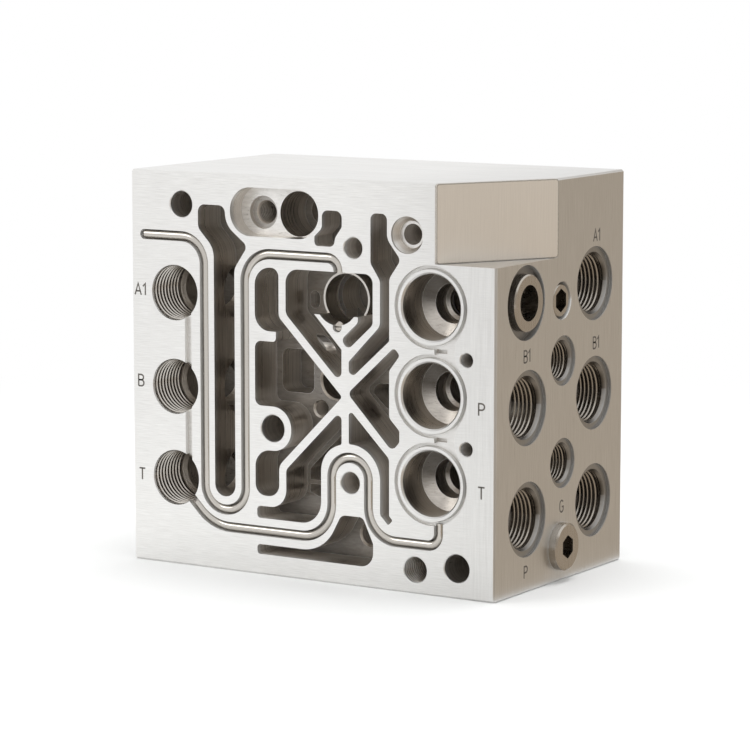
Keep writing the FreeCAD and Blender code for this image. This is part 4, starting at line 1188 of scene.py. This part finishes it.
@dataclass(frozen=True)
class Softbox:
    """A square lamp that faces the block. Lengths are metres, and power is watts.

    Mirrored says whether the metal's reflections show it.
    """

    name: str
    place: Place
    side: float
    power: float
    colour: Colour
    mirrored: bool = True
    aim_height: float = 0.08

    def build(self) -> None:
        """Add the lamp."""
        data = bpy.data.lights.new(self.name, "AREA")
        data.size = self.side
        data.energy = self.power
        data.color = self.colour
        lamp = bpy.data.objects.new(self.name, data)
        lamp.location = self.place
        lamp.visible_glossy = self.mirrored
        aim = Vector((0.0, 0.0, self.aim_height)) - Vector(self.place)
        lamp.rotation_euler = aim.to_track_quat("-Z", "Y").to_euler()
        bpy.context.scene.collection.objects.link(lamp)


@dataclass(frozen=True)
class Card:
    """A grey card that only the metal's reflections see. Lengths are metres.

    It stands and faces the block's upright axis, or lies flat on the floor.
    """

    name: str
    place: Place
    width: float
    height: float
    tone: Colour
    flat: bool = False

    def build(self) -> None:
        """Add the card."""
        card, w = plain_sheet(self.name, self.width, self.height)
        glow = w.node("ShaderNodeEmission")
        w.feed(glow.inputs["Color"], (*self.tone, 1.0))
        output = w.node("ShaderNodeOutputMaterial")
        w.feed(output.inputs["Surface"], glow.outputs["Emission"])
        card.location = self.place
        if not self.flat:
            aim = Vector((0.0, 0.0, self.place[2])) - Vector(self.place)
            card.rotation_euler = aim.to_track_quat("Z", "Y").to_euler()
        for ray in ("camera", "diffuse", "transmission", "shadow"):
            setattr(card, f"visible_{ray}", False)


@dataclass(frozen=True)
class Studio:
    """Floor, world, lamps and the grey cards that shape the metal's reflections.

    The floor shows its own paint near the block and goes to white further out.
    """

    floor_side: float = 12.0
    floor_tone: Colour = (0.85, 0.857, 0.857)
    floor_glow: float = 0.04
    glow_span: Pair = (0.16, 0.55)
    sky_level: float = 0.85
    softboxes: tuple[Softbox, ...] = (
        Softbox("softbox_left", (-0.9, -1.1, 0.9), 0.7, 4.0, (1.0, 0.99, 0.97)),
        Softbox("softbox_top", (0.1, 0.1, 1.3), 0.8, 9.0, (1.0, 0.995, 0.985),
                mirrored=False),
    )
    cards: tuple[Card, ...] = (
        Card("card_right", (0.52, 0.62, 0.30), 1.5, 0.60, (0.49, 0.425, 0.350)),
        Card("card_right_floor", (0.592, 0.40, 0.0005), 1.015, 1.5, (0.50, 0.43, 0.35),
             flat=True),
        Card("card_front", (1.05, -0.55, 0.35), 0.9, 0.9, (0.42, 0.38, 0.33)),
    )

    def seen_plainly(self, w: Wiring) -> Socket:
        """Mask of the rays that see the background itself.

        Args:
            w: The wiring it goes into.

        Returns:
            The mask's socket.
        """
        path = w.node("ShaderNodeLightPath").outputs
        seen = w.math("MAXIMUM", path["Is Camera Ray"], path["Is Glossy Ray"])
        return w.math("MAXIMUM", seen, path["Is Transmission Ray"])

    def blend(self, w: Wiring, share: Socket, first: Socket, second: Socket,
              output: str) -> None:
        """Blend two shaders and put the result out.

        Args:
            w: The wiring it goes into.
            share: Share of the second shader.
            first: A shader's socket.
            second: A shader's socket.
            output: The output node's type name.
        """
        blend = w.node("ShaderNodeMixShader")
        for slot, given in zip(blend.inputs, (share, first, second)):
            w.feed(slot, given)
        w.feed(w.node(output).inputs["Surface"], blend.outputs["Shader"])

    def build_world(self) -> None:
        """White where it is seen, and a softer level where it lights the floor."""
        world = bpy.data.worlds.new("studio")
        bpy.context.scene.world = world
        world.use_nodes = True
        w = Wiring(world.node_tree)
        world.node_tree.nodes.clear()
        lighting, backdrop = (w.node("ShaderNodeBackground") for _ in range(2))
        w.feed(lighting.inputs["Color"], WHITE)
        w.feed(lighting.inputs["Strength"], self.sky_level)
        w.feed(backdrop.inputs["Color"], WHITE)
        self.blend(w, self.seen_plainly(w), lighting.outputs["Background"],
                   backdrop.outputs["Background"], "ShaderNodeOutputWorld")

    def build_floor(self) -> None:
        """A plain pale floor that keeps the block's shadow."""
        floor, w = plain_sheet("floor", self.floor_side, self.floor_side)
        paint = w.node("ShaderNodeBsdfDiffuse")
        w.feed(paint.inputs["Color"], (*self.floor_tone, 1.0))
        glow = w.node("ShaderNodeEmission")
        w.feed(glow.inputs["Color"], WHITE)
        reach = w.node("ShaderNodeVectorMath", operation="LENGTH")
        w.feed(reach.inputs["Vector"], w.place())
        share = w.ramp(reach.outputs["Value"], self.glow_span, self.floor_glow, 1.0)
        self.blend(w, w.math("MULTIPLY", self.seen_plainly(w), share),
                   paint.outputs["BSDF"], glow.outputs["Emission"],
                   "ShaderNodeOutputMaterial")

    def build(self) -> None:
        """Set the whole studio up."""
        self.build_world()
        self.build_floor()
        for thing in self.softboxes + self.cards:
            thing.build()


@dataclass(frozen=True)
class PhotoCamera:
    """The camera at the photograph's angle. Lengths are metres, the lens millimetres.

    Azimuth and pitch, in degrees, say which way it looks.
    """

    place: Place = (0.66798, -1.07076, 0.24985)
    lens: float = 155.21
    sensor: float = 36.0
    azimuth: float = 32.0
    pitch: float = 7.945
    clip: Pair = (0.05, 50.0)

    def build(self) -> None:
        """Add the camera and make it the scene's own."""
        data = bpy.data.cameras.new("camera")
        data.lens = self.lens
        data.sensor_width = self.sensor
        data.clip_start, data.clip_end = self.clip
        camera = bpy.data.objects.new("camera", data)
        camera.location = self.place
        turn, dip = math.radians(self.azimuth), math.radians(self.pitch)
        way = Vector((-math.sin(turn) * math.cos(dip), math.cos(turn) * math.cos(dip),
                      -math.sin(dip)))
        camera.rotation_euler = way.to_track_quat("-Z", "Y").to_euler()
        bpy.context.scene.collection.objects.link(camera)
        bpy.context.scene.camera = camera


def main() -> None:
    """Load the frame, dress it, light it and finish."""
    logging.basicConfig(level=logging.INFO, format="%(name)s %(message)s")
    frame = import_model()
    bpy.context.scene.view_settings.view_transform = "Standard"
    BlockDress(frame["nodes"]).build()
    Studio().build()
    PhotoCamera().build()


if __name__ == "__main__":
    main()
